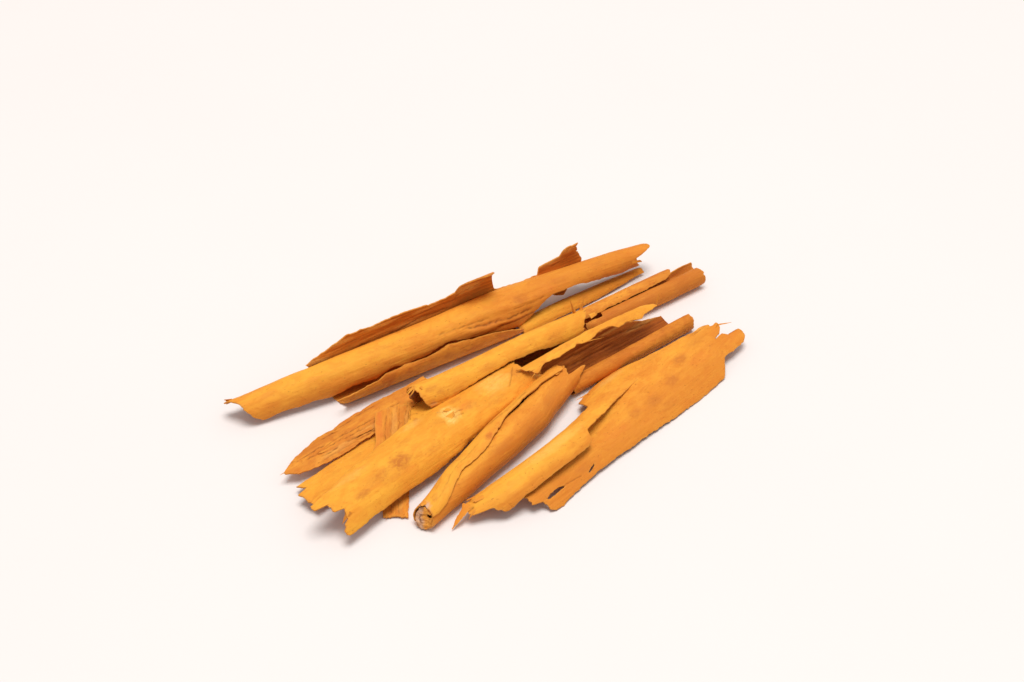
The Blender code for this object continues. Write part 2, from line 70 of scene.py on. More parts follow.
STICKS = {
    # the longest stick, a half tube that lies in the gutter behind the pile
    "long_inner_quill": dict(
        # painted shade on the front flank, the back edge and the browner far half; painted highlight along the crown
        painted_shade_and_browning=((98, 3.0, 40, 11.0, 0.60), (62, 8.0, 26, 4.0, 0.75), (24, 8.2, 26, 3.4, 0.55), (3, 6.4, 9, 3.0, 0.40), (60, -4.0, 50, 1.6, 0.35)),
        painted_highlights=((24, 0.5, 30, 4.0, 0.75), (58, 1.0, 14, 3.4, 0.55), (92, -0.5, 10, 1.8, 0.25)),
        # the last two stains are painted shade: a dark band along the far end's lower front edge
        stains_and_shade_bands=((75.4, 3.4, 2.4, 1.4, 0.85), (88, 2.0, 3.0, 1.1, 0.45), (64, 6.3, 6.0, 1.0, 0.50), (101, 1.2, 2.6, 1.0, 0.40),
                (36, 1.5, 3.5, 0.9, 0.25), (109, 3.4, 3.0, 1.0, 0.50), (49, 6.2, 4.0, 0.9, 0.40), (94, 5.0, 3.0, 1.3, 0.50), (103, 5.6, 6.0, 1.3, 0.9), (111, 6.0, 6.0, 2.0, 1.0)),
        warms_and_side_shade=((83.2, 3.2, 4.0, 1.5, 0.45), (113, 0.5, 4.0, 2.0, 0.45)),
        creases=((((57, 4.6), (64, 6.0), (71, 6.9), (79, 6.2)), 0.22, 0.40), (((50, 3.6), (58, 4.1), (66, 5.0)), 0.13, 0.4), (((61, 8.2), (66, 8.4), (70, 8.0)), 0.16, 0.30),
                 (((72, 5.2), (78, 5.0), (83, 4.6)), 0.14, 0.30),
                 (((66, 7.7), (72, 8.1), (80, 7.6)), 0.18, 0.30), (((68, 2.4), (78, 2.9), (84, 2.3)), 0.07, 0.4),
                 (((-3.6, -4.3), (-1.0, -4.2), (3, -4.0)), 0.13, 0.3), (((20, 4.4), (31, 5.0)), 0.06, 0.35)),
        folds=((((56, 5.4), (64, 7.0), (76, 7.4)), 0.40, 0.9), (((60, 2.2), (72, 4.6), (82, 4.6)), 0.30, 1.1)),
        flakes=(dict(s=-2.2, w=-3.4, long=-1.5, wide=1.5, lift=0.45, rise=-0.1, curl=0.5, seed=3, look=(0.0, 0.0, 0.0)),
                dict(s=110.5, w=3.6, long=3.0, wide=0.9, lift=0.5, rise=0.1, seed=5)),
        shift_z=((0, -1.4), (0.22, 0.0), (1, 0.0)), shift_y=((0, 1.8), (0.22, 0.0), (1, 0.0)), seed=7, at=(-50.5, 29.6, 8.6), heading=-9.6, pitch=-0.35, length=118.0, finish="amber",
        arch=((0, -1.5), (0.1, -0.7), (0.25, 0.1), (0.45, 0.5), (0.6, 1.6), (0.75, 1.4), (0.9, 0.9), (1, -0.2)),
        bend=half_tube((0, 3.9), (0.2, 4.6), (0.35, 5.0), (0.58, 6.0), (0.72, 4.6), (0.88, 3.0), (1, 2.6)),
        back=((0, -4.5), (0.1, -4.3), (0.14, -2.4), (0.2, -2.4), (0.3, -2.7), (0.5, -3.4), (0.64, -3.6), (0.72, -5.8), (0.8, -6.5), (0.95, -6.2), (1, -5.4)),
        front=((0, 5.7), (0.016, 6.9), (0.031, 7.2), (0.06, 6.9), (0.1, 7.8), (0.13, 7.7), (0.166, 9.0), (0.181, 8.8),
               (0.214, 7.9), (0.242, 8.1), (0.275, 8.5), (0.311, 7.0), (0.344, 7.4), (0.395, 7.5), (0.425, 6.6),
               (0.451, 6.1), (0.5, 7.4), (0.555, 8.7), (0.586, 9.8), (0.629, 10.5), (0.659, 8.5), (0.69, 6.2),
               (0.718, 4.9), (0.776, 4.6), (0.85, 5.4), (0.89, 5.8), (0.935, 6.9), (0.96, 6.5), (1, 5.6)),
        rag_back=(0.15, 0.12), rag_front=(0.12, 0.20),
        left=((0, 3.4), (0.12, 4.3), (0.3, 3.2), (0.4, 2.6), (0.52, 1.7), (0.75, 1.1), (0.93, 0.2), (1, -0.6)),
        right=((0, -3.0), (0.18, -1.0), (0.3, -0.5), (0.42, -0.3), (0.55, -0.4), (0.63, -1.5), (0.70, -3.6), (0.75, -5.6), (0.87, -5.7), (1, -4.5))),
    # the gutter under it, open upwards, its back edge torn into two flaps
    "outer_gutter": dict(
        pales=((0, -11.8, 4.5, 0.9, 0.55), (8, -15.0, 5, 1.0, 0.55), (19, -15.6, 6, 0.8, 0.60), (32, -15.0, 5, 0.8, 0.45),
               (44, -17.6, 5, 2.4, 0.60), (50, -20.6, 2.5, 1.6, 0.55), (27, -12.4, 5, 0.8, 0.25), (70, -14.2, 5, 1.2, 0.4), (75, -16.5, 3, 1.5, 0.45)),
        stains_and_shade_bands=((6, -9.8, 6, 1.2, 0.7), (24, -11.4, 9, 1.2, 0.6), (40, -13.4, 8, 1.5, 0.6), (14, 7.6, 2.0, 1.2, 0.6), (31, 7.6, 1.6, 1.5, 0.6)),
        creases=((((-2, -10.9), (4, -10.3), (10, -10.6), (17, -11.8)), 0.22, 0.40), (((3, -12.9), (9, -13.4), (14, -14.0)), 0.14, 0.25),
                 (((20, -11.2), (32, -12.6), (40, -12.4)), 0.18, 0.32), (((25, -13.6), (36, -14.4), (43, -14.2)), 0.14, 0.25),
                 (((40, -15.2), (48, -17.0), (51, -18.6)), 0.14, 0.25), (((12, -12.6), (24, -13.6)), 0.1, 0.22),
                 (((70, -12.6), (76, -13.4)), 0.14, 0.25)),
        outer_up=False, seed=14, at=(-32.0, 22.0, 0.25), heading=-8.5, length=77.0, finish="tawny",
        bend=((0, ((-16, 1 / 9.5), (-6, 1 / 9.5), (0, 1 / 6.0), (3, 1 / 4.4), (8, 1 / 4.4))),),
        back=((0, -11.6), (0.036, -12.9), (0.064, -14.1), (0.079, -14.9), (0.103, -15.5), (0.122, -16.7),
              (0.165, -16.5), (0.219, -16.1), (0.266, -16.6), (0.321, -16.8), (0.379, -16.4), (0.43, -15.9),
              (0.5, -15.9), (0.531, -17.0), (0.54, -19.7), (0.562, -21.3), (0.60, -22.4), (0.64, -23.4), (0.655, -22.6),
              (0.687, -12.8), (0.7, -12.0), (0.84, -11.5), (0.862, -11.5), (0.868, -14.0), (0.895, -14.4),
              (0.944, -14.8), (0.952, -16.6), (0.965, -17.6), (1, -17.8)),
        front=((0, 7.2), (0.02, 7.1), (0.05, 7.1), (0.083, 7.4), (0.106, 7.9), (0.145, 8.2), (0.181, 9.2),
               (0.216, 9.1), (0.247, 9.6), (0.282, 9.2), (0.356, 9.2), (0.414, 10.2), (0.512, 9.0), (0.578, 8.5),
               (0.625, 7.8), (0.70, 5.8), (0.71, -8.0), (0.85, -8.0), (0.9, -5.0), (1, -4.0)),
        rag_back=(0.15, 0.30), rag_front=(0.10, 0.14),
        left=((0, 1.8), (0.1, 0.6), (0.5, -1.0), (0.8, -3.0), (0.93, -1.5), (1, 0.6)),
        right=((0, 1.1), (0.1, 0.9), (0.29, 2.0), (0.49, 3.4), (0.7, 1.0), (1, -5.0))),
    # a slim half tube in front of the gutter's far end
    "slim_half_quill": dict(
        # painted highlight on the near end's crown; painted shade on the front flank and over the browner far half
        painted_highlights=((6, 0.0, 9, 3.0, 0.6),), painted_shade_and_browning=((32, 1.0, 20, 5.0, 0.75), (16, 2.6, 16, 1.6, 0.45)), stains_and_shade_bands=((21, 1.0, 2.6, 0.9, 0.4), (36, 0.2, 2.5, 0.8, 0.4)),
        creases=((((0.4, -1.8), (0.9, 0.2), (0.6, 2.6)), 0.28, 0.45), (((8, 1.6), (16, 1.9), (24, 1.4)), 0.10, 0.25), (((26, 0.4), (36, 0.2)), 0.08, 0.22)),
        seed=21, at=(20.8, 12.5, 2.55), heading=-4.0, pitch=-1.2, length=42.0, finish="golden",
        arch=((0, -0.2), (0.3, 0.3), (0.7, 0.3), (1, 0.0)),
        bend=half_tube((0, 2.3), (0.35, 2.4), (0.7, 1.9), (1, 1.2)),
        back=((0, -3.2), (0.5, -3.0), (1, -1.4)), front=((0, 3.4), (0.6, 3.0), (1, 1.2)),
        rag_back=(0.1, 0.1), rag_front=(0.12, 0.12),
        left=((0, 0.0), (0.4, 0.4), (1, -1.5))),
    # a half tube on top of the middle of the pile
    "middle_half_quill": dict(
        # painted highlight along the crown; painted shade on the front flank
        painted_highlights=((14, -0.5, 16, 2.4, 0.4), (38, -0.5, 12, 2.0, 0.4)),
        painted_shade_and_browning=((6, 4.0, 9, 3.0, 0.35), (46, 1.5, 9, 3.0, 0.30), (24, 3.2, 9, 1.6, 0.35)),
        stains_and_shade_bands=((2.6, 1.4, 2.4, 1.1, 0.55), (9, 4.4, 2.8, 1.0, 0.40), (19, 2.6, 3.2, 1.0, 0.30), (34, 1.2, 2.5, 0.9, 0.30), (40, 2.8, 3.0, 1.0, 0.45),
                (4.4, 3.0, 1.4, 0.8, 0.5), (1.0, 4.6, 1.5, 1.0, 0.55)),
        creases=((((0.3, 4.6), (3.2, 5.2), (6.5, 5.0)), 0.12, 0.3), (((28, 2.6), (35, 3.0), (41, 2.7)), 0.08, 0.3),
                 (((1.0, -2.0), (5, -1.8), (9, -2.1)), 0.06, 0.3)),
        splinters=(dict(s=-0.2, w=-1.5, reach=(-3.0, -0.7, -1.2), wide=0.9, thick=0.2, bow=0.1, seed=21, look=(1.0, 0.7, 0.0)),
                   dict(s=-0.4, w=-0.5, reach=(-2.2, -0.5, -1.3), wide=0.7, thick=0.2, bow=0.1, seed=22, look=(1.0, 0.8, 0.0)),
                   dict(s=0.0, w=-2.6, reach=(-2.3, -0.5, -0.8), wide=0.7, thick=0.2, bow=0.1, seed=23, look=(1.0, 0.8, 0.0)),
                   dict(s=50.2, w=-2.2, reach=(-1.4, 0.3, 4.4), wide=1.3, thick=1.0, bow=0.2, seed=2, look=(1.0, 0.9, 0.0)),
                   dict(s=52.2, w=-2.0, reach=(0.9, 0.2, 3.6), wide=1.1, thick=1.0, bow=0.1, seed=4, look=(1.0, 0.9, 0.0)),
                   dict(s=51.6, w=-0.6, reach=(2.4, 0.2, 1.2), wide=0.55, thick=0.20, bow=0.3, seed=6, look=(1.0, 0.7, 0.0))),
        ashes=((0.4, -6.6, 1.4, 1.4, 0.35), (1.6, 5.4, 1.4, 1.0, 0.25)),
        flakes=(
                dict(s=1.8, w=0.5, long=-1.6, wide=1.4, lift=0.35, rise=0.12, seed=7),
                dict(s=52.2, w=1.6, long=2.0, wide=1.3, lift=0.5, rise=0.05, seed=8),
                dict(s=51.0, w=-3.4, long=2.6, wide=1.4, lift=0.8, rise=0.05, seed=9)),
        seed=28, at=(-20.5, 1.6, 10.6), heading=-3.6, pitch=-1.6, length=53.5, finish="golden",
        arch=((0, 0.45), (0.15, 0.05), (0.6, 0.6), (1, 0.0)),
        bend=half_tube((0, 3.9), (0.5, 3.7), (1, 3.4)),
        back=((0, -9.6), (0.07, -9.2), (0.14, -6.8), (0.42, -6.5), (0.52, -14.0), (1, -13.5)),
        front=((0, 5.9), (0.064, 5.7), (0.125, 5.6), (0.198, 4.9), (0.3, 4.2), (0.383, 4.0), (0.473, 3.7),
               (0.54, 4.0), (0.613, 4.2), (0.686, 4.6), (0.764, 5.1), (0.826, 5.2), (0.91, 4.9), (1, 4.5)),
        rag_back=(0.2, 0.2), rag_front=(0.10, 0.16),
        left=((0, -1.0), (0.12, -0.2), (0.25, 0.6), (0.36, 0.9), (0.52, 0.5), (0.58, 0.6), (0.766, 1.1), (0.895, 0.2), (1, -1.0)),
        right=((0, -2.0), (0.3, -0.5), (0.472, 0.5), (0.72, -0.9), (0.873, -3.6), (1, -4.8))),
    # a sheet rolled in from both edges, its back roll shorter than its front one
    "back_scroll_quill": dict(
        # painted shade and a browner tone on both rolls
        painted_shade_and_browning=((18, 9.0, 34, 7.0, 0.80), (36, 8.0, 12, 7.0, 0.90), (30, -8.5, 12, 4.0, 0.50)),
        stains_and_shade_bands=((32, 7.0, 4, 1.5, 0.4), (20, 7.0, 3.5, 1.2, 0.4), (8, -8.6, 3, 0.9, 0.35), (22, -8.4, 3, 0.9, 0.4)),
        outer_up=False, seed=35, at=(32.0, 1.1, 0.25), heading=-4.8, length=39.0, finish="tawny",
        bend=((0, ((-14, 1 / 2.45), (-2.5, 1 / 2.45), (-1.5, 0.05), (1.5, 0.05), (2.5, 1 / 2.3), (14, 1 / 2.1))),),
        back=((0, -11.6), (0.4, -11.5), (0.6, -11.2), (0.75, -11.0), (0.8, -10.4), (0.83, -8.8), (0.85, -4.4), (0.88, -5.2), (0.95, -5.6), (1, -5.3)),
        right=((0, 2.6), (0.25, 2.2), (0.36, 0.0), (1, 0.0)),
        front=((0, 8.6), (0.15, 8.4), (0.175, 10.5), (1, 10.4)), rag_back=(0.15, 0.22)),
    # a thin torn strip on the crest between two sticks
    "wavy_strip": dict(
        # the two larger dark spots are painted shade on the front half of the strip, toward its far end
        stains_and_shade_bands=((12, 0.6, 2.5, 0.8, 0.35), (30, 1.2, 3.0, 0.8, 0.35), (21, 0.4, 2.0, 0.6, 0.3)), painted_shade_and_browning=((36, 1.0, 7, 2.0, 0.35), (22, 1.4, 6, 0.9, 0.25)),
        creases=((((4, 0.6), (10, 0.4), (17, 0.6)), 0.09, 0.25), (((24, 0.7), (32, 0.9)), 0.08, 0.25), (((33, 1.6), (39, 1.0)), 0.10, 0.22)),
        splinters=(dict(s=42.6, w=0.2, reach=(1.3, 0.2, 3.6), wide=0.50, thick=0.20, bow=0.1, seed=2, look=(1.0, 0.9, 0.0)),
                   dict(s=18.5, w=2.0, reach=(4.5, -0.6, -0.7), wide=0.35, thick=0.18, bow=-0.1, seed=4),
                   dict(s=2.4, w=2.0, reach=(-2.6, -0.5, -0.8), wide=0.55, thick=0.20, bow=0.0, seed=5)),
        flakes=(dict(s=3.0, w=0.9, long=-3.2, wide=1.3, lift=0.25, rise=0.1, seed=1),
                dict(s=35.0, w=2.2, long=-2.2, wide=0.7, lift=0.4, rise=0.05, seed=3)),
        wavy=0.6, seed=42, at=(5.0, -8.3, 9.0), heading=-3.0, pitch=-0.8, length=43.0, finish="golden", thick=0.42,
        arch=((0, 0.0), (0.3, 1.6), (0.6, 1.9), (0.85, 1.4), (1, 0.3)),
        bend=half_tube((0, 4.0)),
        back=((0, -1.5), (0.07, -1.2), (0.14, -0.7), (0.42, -0.6), (0.456, -1.0), (0.55, -0.6), (0.75, -0.5), (0.92, -0.8), (1, -0.2)),
        front=((0, 2.6), (0.044, 2.3), (0.107, 1.4), (0.17, 1.8), (0.212, 2.2), (0.267, 1.9), (0.33, 2.0), (0.351, 1.4),
               (0.4, 2.1), (0.449, 2.2), (0.5, 1.4), (0.54, 1.0), (0.616, 1.3), (0.651, 2.5), (0.728, 2.1),
               (0.79, 2.5), (0.826, 2.9), (0.86, 2.0), (0.93, 1.5), (1, 0.7)),
        rag_back=(0.08, 0.12), rag_front=(0.08, 0.16),
        left=((0, 1.5), (1, -1.5)), right=((0, -1.0), (1, -0.2))),
    # a trough whose front edge is rolled into a tube and whose back edge stands up
    "open_trough_quill": dict(
        stains_and_shade_bands=((5, -6.5, 6, 2.2, 0.8), (8, -2.5, 8, 1.6, 0.6), (26, -7.6, 6, 1.0, 0.4)), pales=((30, -6.4, 7, 0.8, 0.25), (22, -9.0, 8, 0.5, 0.3)),
        # the first two dark spots are painted shade on the rolled front edge
        painted_shade_and_browning=((14, 6.5, 10, 3.5, 0.30), (24, 15.0, 20, 3.0, 0.20)), warms_and_side_shade=((22, 4.5, 16, 2.5, 0.35),),
        creases=((((2, -7.9), (12, -7.4), (22, -7.0), (33, -5.6)), 0.20, 0.36), (((1, -5.9), (10, -5.5), (20, -5.2)), 0.20, 0.32),
                 (((4, -3.8), (14, -3.6), (26, -3.1)), 0.16, 0.30), (((16, -4.6), (28, -4.0)), 0.12, 0.25), (((8, -8.9), (18, -8.4)), 0.14, 0.25),
                 (((22, -2.0), (34, -1.8)), 0.12, 0.25)),
        outer_up=False, seed=49, at=(14.0, -13.4, 0.25), heading=-1.5, length=41.0, finish="russet",
        bend=((0, ((-12, 1 / 6.0), (-1.5, 1 / 6.0), (-0.5, 0.08), (1, 0.08), (1.6, 1 / 1.9), (14, 1 / 1.7))),),
        back=((0, -10.5), (0.45, -10.5), (0.62, -9.2), (0.76, -7.1), (0.84, -6.5), (0.9, -5.9), (0.92, -2.5), (1, -1.0)),
        front=((0, 10.4), (1, 10.4)), rag_back=(0.15, 0.25), left=((0, 4.6), (0.25, 4.6), (0.4, 1.0), (0.5, 0.0), (1, 0.0)), right=((0, 0.0), (0.6, 0.0), (0.8, 0.8), (1, 0.6))),
    # the front half roll, open towards the back
    "broad_front_quill": dict(
        # painted shade on the front flank, at the far end and on the back slope
        painted_shade_and_browning=((66, 3.0, 4.5, 6.0, 0.45), (20, 8.2, 18, 2.2, 0.30), (46, 8.0, 12, 2.0, 0.30), (36, -3.0, 6, 3.5, 0.25)),
        stains_and_shade_bands=((21.7, 2.6, 3.8, 2.4, 0.95), (15.0, 2.6, 4.6, 1.7, 0.62), (18.0, 4.6, 5.0, 1.0, 0.35), (8.5, 3.8, 2.6, 1.0, 0.80), (26.5, -1.0, 3.0, 1.0, 0.35),
                (31, 4.8, 3.5, 1.2, 0.30), (63.4, 1.0, 2.0, 1.5, 0.55), (38, 0.0, 3.0, 1.2, 0.30), (53, 4.0, 3.5, 1.4, 0.30), (46.0, -2.6, 2.2, 1.3, 0.60), (47.4, 1.4, 2.4, 1.3, 0.45), (35.2, -5.6, 0.9, 0.9, 0.8), (40.4, -2.6, 1.4, 0.7, 0.4)),
        warms_and_side_shade=((46.0, 1.0, 2.3, 1.6, 0.75), (23, 5.6, 2.5, 1.2, 0.35)),
        pales=((41.4, -0.2, 2.6, 3.0, 1.0), (40.0, 1.6, 1.6, 1.4, 0.9), (57, -0.5, 5.5, 3.6, 0.40), (67.6, 3.6, 1.6, 2.6, 0.85), (10, -2.0, 6, 1.6, 0.25), (33, -4.6, 4, 1.4, 0.3)),
        layers=((41.4, -0.2, 2.4, 2.8, -0.09), (60.0, -0.5, 4.4, 4.2, 0.09)),
        # the first crease paints a shade line along the front edge where it meets the tapered roll; the one from (34.3,
        # -6.4) paints the shade line along the back flap's edge
        creases=((((38.0, 8.3), (40.6, 8.3), (44.5, 8.0), (48.1, 7.7), (52.0, 7.4), (55.6, 7.1), (60.5, 6.9)), 0.30, 0.60),
                 (((41.0, 1.3), (42.6, 1.5), (44.2, 1.8)), 0.20, 0.34), (((42.4, 0.4), (43.6, 0.6), (45.0, 1.0)), 0.18, 0.30),
                 (((42.4, -2.4), (43.4, -1.6), (44.4, -0.7)), 0.13, 0.22), (((34.3, -6.4), (37.2, -9.3), (39.6, -12.0)), 0.16, 0.30),
                 (((39.6, -3.4), (40.8, -2.0), (40.2, -0.2), (41.6, 1.2)), 0.13, 0.22),
                 (((41.0, -3.0), (42.8, -1.6), (42.2, 0.4)), 0.10, 0.20), (((64.9, -1.2), (61.6, 1.5), (58.3, 3.6)), 0.11, 0.26),
                 (((37.4, -8.8), (37.8, -7.4)), 0.22, 0.34), (((44, 3.0), (49, 3.4), (54, 3.0)), 0.05, 0.3),
                 (((2, -0.4), (8, -1.6), (14, -2.6)), 0.05, 0.5)),
        splinters=(dict(s=2.6, w=5.3, reach=(-2.6, -0.6, -1.2), wide=1.5, thick=0.30, bow=0.1, seed=3, look=(0.2, 0.6, 0.0)),
                   dict(s=67.2, w=5.2, reach=(2.6, 0.8, 0.2), wide=0.8, thick=0.22, bow=0.2, seed=6)),
        flakes=(dict(s=40.2, w=0.6, long=2.0, wide=1.6, lift=0.25, rise=0.10, seed=1, look=(1.0, 1.0, 0.0)),
                dict(s=43.0, w=-1.6, long=-2.0, wide=1.5, lift=0.22, rise=0.10, seed=2, look=(1.0, 1.0, 0.0)),
                dict(s=65.8, w=2.4, long=2.6, wide=1.7, lift=0.35, rise=0.12, seed=4, look=(1.0, 0.9, 0.0)),
                dict(s=66.4, w=4.4, long=2.4, wide=1.4, lift=0.30, rise=0.12, seed=7, look=(1.0, 0.9, 0.0)),
                dict(s=1.0, w=1.5, long=-1.3, wide=1.1, lift=0.2, rise=0.08, seed=8)),
        seed=56, at=(-60.0, -12.6, 8.0), heading=6.4, length=68.0, finish="golden",
        bend=((0, ((-8, 0.0), (-3, -1 / 12.0), (0, -1 / 8.5), (4, -1 / 9.0), (12, -1 / 8.0))),
              (0.36, ((-14, 0.0), (-8, 0.0), (-3, -1 / 14.0), (0, -1 / 9.0), (4, -1 / 7.6), (12, -1 / 7.0))),
              (0.5, ((-18, 0.05), (-9, 0.06), (-4, -0.01), (0, -1 / 10.0), (4, -1 / 7.4), (12, -1 / 7.0))),
              (0.62, ((-18, 0.03), (-9, 0.02), (-4, -0.06), (0, -1 / 10.0), (4, -1 / 7.2), (12, -1 / 7.0))),
              (1, ((-14, 0.0), (-8, -1 / 12.0), (12, -1 / 6.0)))),
        back=((0, -1.5), (0.081, -2.9), (0.143, -4.1), (0.2, -5.2), (0.249, -4.6), (0.341, -6.4), (0.403, -6.5),
              (0.447, -6.6), (0.487, -6.3), (0.5, -6.8), (0.518, -7.7), (0.549, -9.9), (0.588, -12.9), (0.64, -14.9), (0.68, -13.5), (0.76, -11.0), (0.9, -10.0), (1, -10.0)),
        front=((0, 9.7), (0.072, 9.7), (0.121, 9.3), (0.191, 9.5), (0.266, 9.3), (0.341, 9.6), (0.416, 9.6), (0.491, 9.3),
               (0.557, 8.8), (0.61, 8.4), (0.654, 8.2), (0.707, 7.9), (0.765, 7.5), (0.818, 7.3), (0.875, 7.1), (0.937, 6.6), (1, 6.0)),
        rag_back=(0.15, 0.12), rag_front=(0.12, 0.16), rag_left=(0.12, 0.3),
        left=((0, 2.6), (0.11, 2.9), (0.16, 2.9), (0.185, 1.7), (0.2, 0.8), (0.227, -0.4), (0.31, -0.1), (0.4, 0.3),
              (0.437, -0.1), (0.487, -2.2), (0.6, -1.8), (0.7, -1.3), (0.76, -0.2), (0.86, 0.6), (0.95, 0.5), (1, -0.1)),
        right=((0, 1.0), (0.2, 1.0), (0.4, 0.5), (0.5, -1.5), (0.56, -1.9), (0.67, -1.9), (0.8, -1.6), (0.9, -0.4), (1, 2.0))),
    # a sheet under it
    "broad_under_sheet": dict(
        # the dark spots after the stains are painted shade near the -X end's front and along the back edge
        stains_and_shade_bands=((9, -1.6, 3.0, 0.9, 0.35), (17, -2.4, 3.0, 0.8, 0.35)), painted_shade_and_browning=((3, 1.6, 4, 2.0, 0.3), (20, -4.4, 9, 1.2, 0.25)),
        creases=((((1, -4.2), (8, -4.4), (16, -5.0)), 0.06, 0.3), (((0, 0.6), (6, 0.2), (12, -0.4)), 0.08, 0.35)),
        seed=63, at=(-58.0, -3.9, 3.05), heading=4.0, pitch=0.3, length=50.0, finish="golden",
        bend=half_tube((0, 13.0)),
        back=((0, -5.7), (0.092, -5.9), (0.146, -5.7), (0.206, -6.2), (0.314, -7.0), (0.42, -7.6), (0.6, -6.5), (1, -3.5)),
        front=((0, 4.2), (0.16, 4.2), (0.24, 0.5), (1, 1.0)), rag_back=(0.12, 0.15), rag_left=(0.1, 0.25),
        left=((0, -0.7), (0.2, -1.2), (0.27, -1.6), (0.31, -1.0), (0.35, 1.4), (0.5, 1.2), (0.67, 1.4), (0.88, 1.1), (1, 1.0))),
    # a nearly flat, fibrous sheet that tapers to a point
    "flat_fibrous_sheet": dict(
        # painted shade along the back of the sheet and at the front of its tip
        painted_shade_and_browning=((12, -2.2, 9, 1.6, 0.75), (22, -2.8, 8, 1.6, 0.50), (34, -2.6, 9, 2.0, 0.35), (5, 1.8, 4, 1.4, 0.3)),
        stains_and_shade_bands=((17, -1.8, 4.0, 1.2, 0.6), (9, -1.6, 3.0, 0.9, 0.5), (27, -3.4, 4.0, 1.0, 0.4), (38, -1.0, 4, 1.6, 0.4)),
        pales=((14, 2.6, 6, 1.0, 0.25), (25, 2.2, 6, 1.0, 0.25)),
        creases=((((9.6, 2.0), (12.5, 2.3), (15.0, 2.2)), 0.22, 0.30), (((17.0, 2.2), (21, 2.6), (25.5, 2.7)), 0.26, 0.34),
                 (((19, 3.2), (25, 3.4), (29, 3.5)), 0.22, 0.30), (((4, -0.6), (9, -0.4), (13, -0.5)), 0.20, 0.26), (((13, -2.6), (19, -2.9), (24, -3.2)), 0.20, 0.30),
                 (((17, 1.2), (24, 1.5)), 0.20, 0.24), (((28, 0.4), (36, 0.2)), 0.18, 0.24), (((24, -3.6), (32, -3.4)), 0.18, 0.26), (((12, 0.2), (20, -0.6)), 0.16, 0.22),
                 (((6, 0.6), (12, 0.9), (18, 0.8)), 0.20, 0.26), (((15, -0.2), (23, 0.2), (29, 0.6)), 0.20, 0.26),
                 (((8, 3.2), (14, 3.5), (20, 3.4)), 0.12, 0.22), (((11, -1.2), (19, -1.4)), 0.10, 0.22), (((23, 1.4), (31, 1.6)), 0.14, 0.24),
                 (((26, -1.8), (35, -1.4)), 0.10, 0.22), (((3, 1.8), (7, 2.4)), 0.10, 0.22)),
        splinters=(dict(s=1.0, w=0.6, reach=(-2.2, 0.4, -0.1), wide=0.5, thick=0.22, bow=0.1, seed=1),
                   dict(s=5.0, w=-0.8, reach=(-2.4, 0.4, 0.2), wide=0.4, thick=0.2, bow=0.1, seed=2),
                   dict(s=18.0, w=-3.2, reach=(-2.6, 0.6, 0.2), wide=0.4, thick=0.2, bow=0.1, seed=3),
                   dict(s=11.0, w=3.4, reach=(-3.0, -0.4, 0.1), wide=0.35, thick=0.2, bow=0.0, seed=4)),
        flakes=(dict(s=25.0, w=2.4, long=-5.0, wide=0.9, lift=0.35, rise=0.12, seed=5), dict(s=14.0, w=1.2, long=-4.0, wide=0.8, lift=0.3, rise=0.12, seed=6),
                dict(s=21.0, w=-2.4, long=-4.0, wide=1.0, lift=0.25, rise=0.12, seed=7, look=(1.0, 0.4, 0.0))),
        fibre=1.0, seed=70, at=(-57.4, 6.8, 3.0), heading=1.0, pitch=1.8, length=46.0, finish="tawny",
        bend=half_tube((0, 14.0)),
        back=((0, 0.4), (0.048, -0.9), (0.126, -2.2), (0.172, -2.7), (0.25, -3.8), (0.302, -4.5), (0.341, -4.1),
              (0.38, -3.8), (0.485, -4.7), (0.56, -5.0), (0.589, -4.5), (0.674, -5.0), (0.778, -4.0), (0.883, -3.6), (1, -3.6)),
        front=((0, 0.9), (0.054, 2.8), (0.126, 3.6), (0.204, 4.2), (0.283, 4.5), (0.354, 4.5), (0.433, 4.2),
               (0.511, 4.2), (0.6, 4.0), (1, 3.8)),
        rag_back=(0.12, 0.22), rag_front=(0.10, 0.18)),
    # a strip that lies across the others, from the table up over the flat sheet
    "cross_strip": dict(
        # the first warm band is a redder tone and also painted shade on the strip's left side, which turns down
        warms_and_side_shade=((26, -4.2, 9, 1.1, 1.0), (12, -2.0, 6, 0.8, 0.4)), pales=((27.5, -0.6, 6, 1.0, 0.22), (29, 2.4, 4, 0.8, 0.18), (4, 0.8, 4, 1.0, 0.2)),
        creases=((((20, -2.6), (26, -2.7), (31, -2.5)), 0.14, 0.26), (((23, -1.4), (29, -1.2), (32, -1.3)), 0.13, 0.22),
                 (((24, 0.4), (29, 0.7), (33, 0.6)), 0.13, 0.22), (((26, 1.9), (33, 2.2)), 0.13, 0.22), (((1, -1.2), (8, -1.4)), 0.12, 0.22),
                 (((0.5, 0.6), (8, 0.4)), 0.12, 0.22), (((1, 1.8), (7, 1.9)), 0.1, 0.2)),
        flakes=(dict(s=31.0, w=3.0, long=2.6, wide=1.2, lift=0.8, rise=0.1, seed=1), dict(s=29.0, w=-2.0, long=3.6, wide=0.8, lift=0.5, rise=0.1, seed=2),
                dict(s=3.0, w=1.6, long=-2.6, wide=0.9, lift=0.2, rise=0.1, seed=3)),
        splinters=(dict(s=31.5, w=0.2, reach=(2.8, 0.3, 0.8), wide=0.5, thick=0.2, bow=0.2, seed=4), dict(s=1.0, w=-1.8, reach=(-1.8, 0.5, 0.1), wide=0.5, thick=0.2, bow=0.1, seed=5)),
        fibre=0.8, seed=77, at=(-46.0, -20.5, 0.6), heading=50.0, length=34.6, finish="tawny",
        arch=((0, 0.0), (0.28, 0.1), (0.42, 1.5), (0.515, 3.0), (0.586, 3.2), (0.66, 3.6), (0.85, 4.4), (1, 5.0)),
        roll=((0, 0.0), (0.3, 0.0), (0.46, 9.0), (0.8, 6.0), (1, 3.0)),
        bend=half_tube((0, 50.0)),
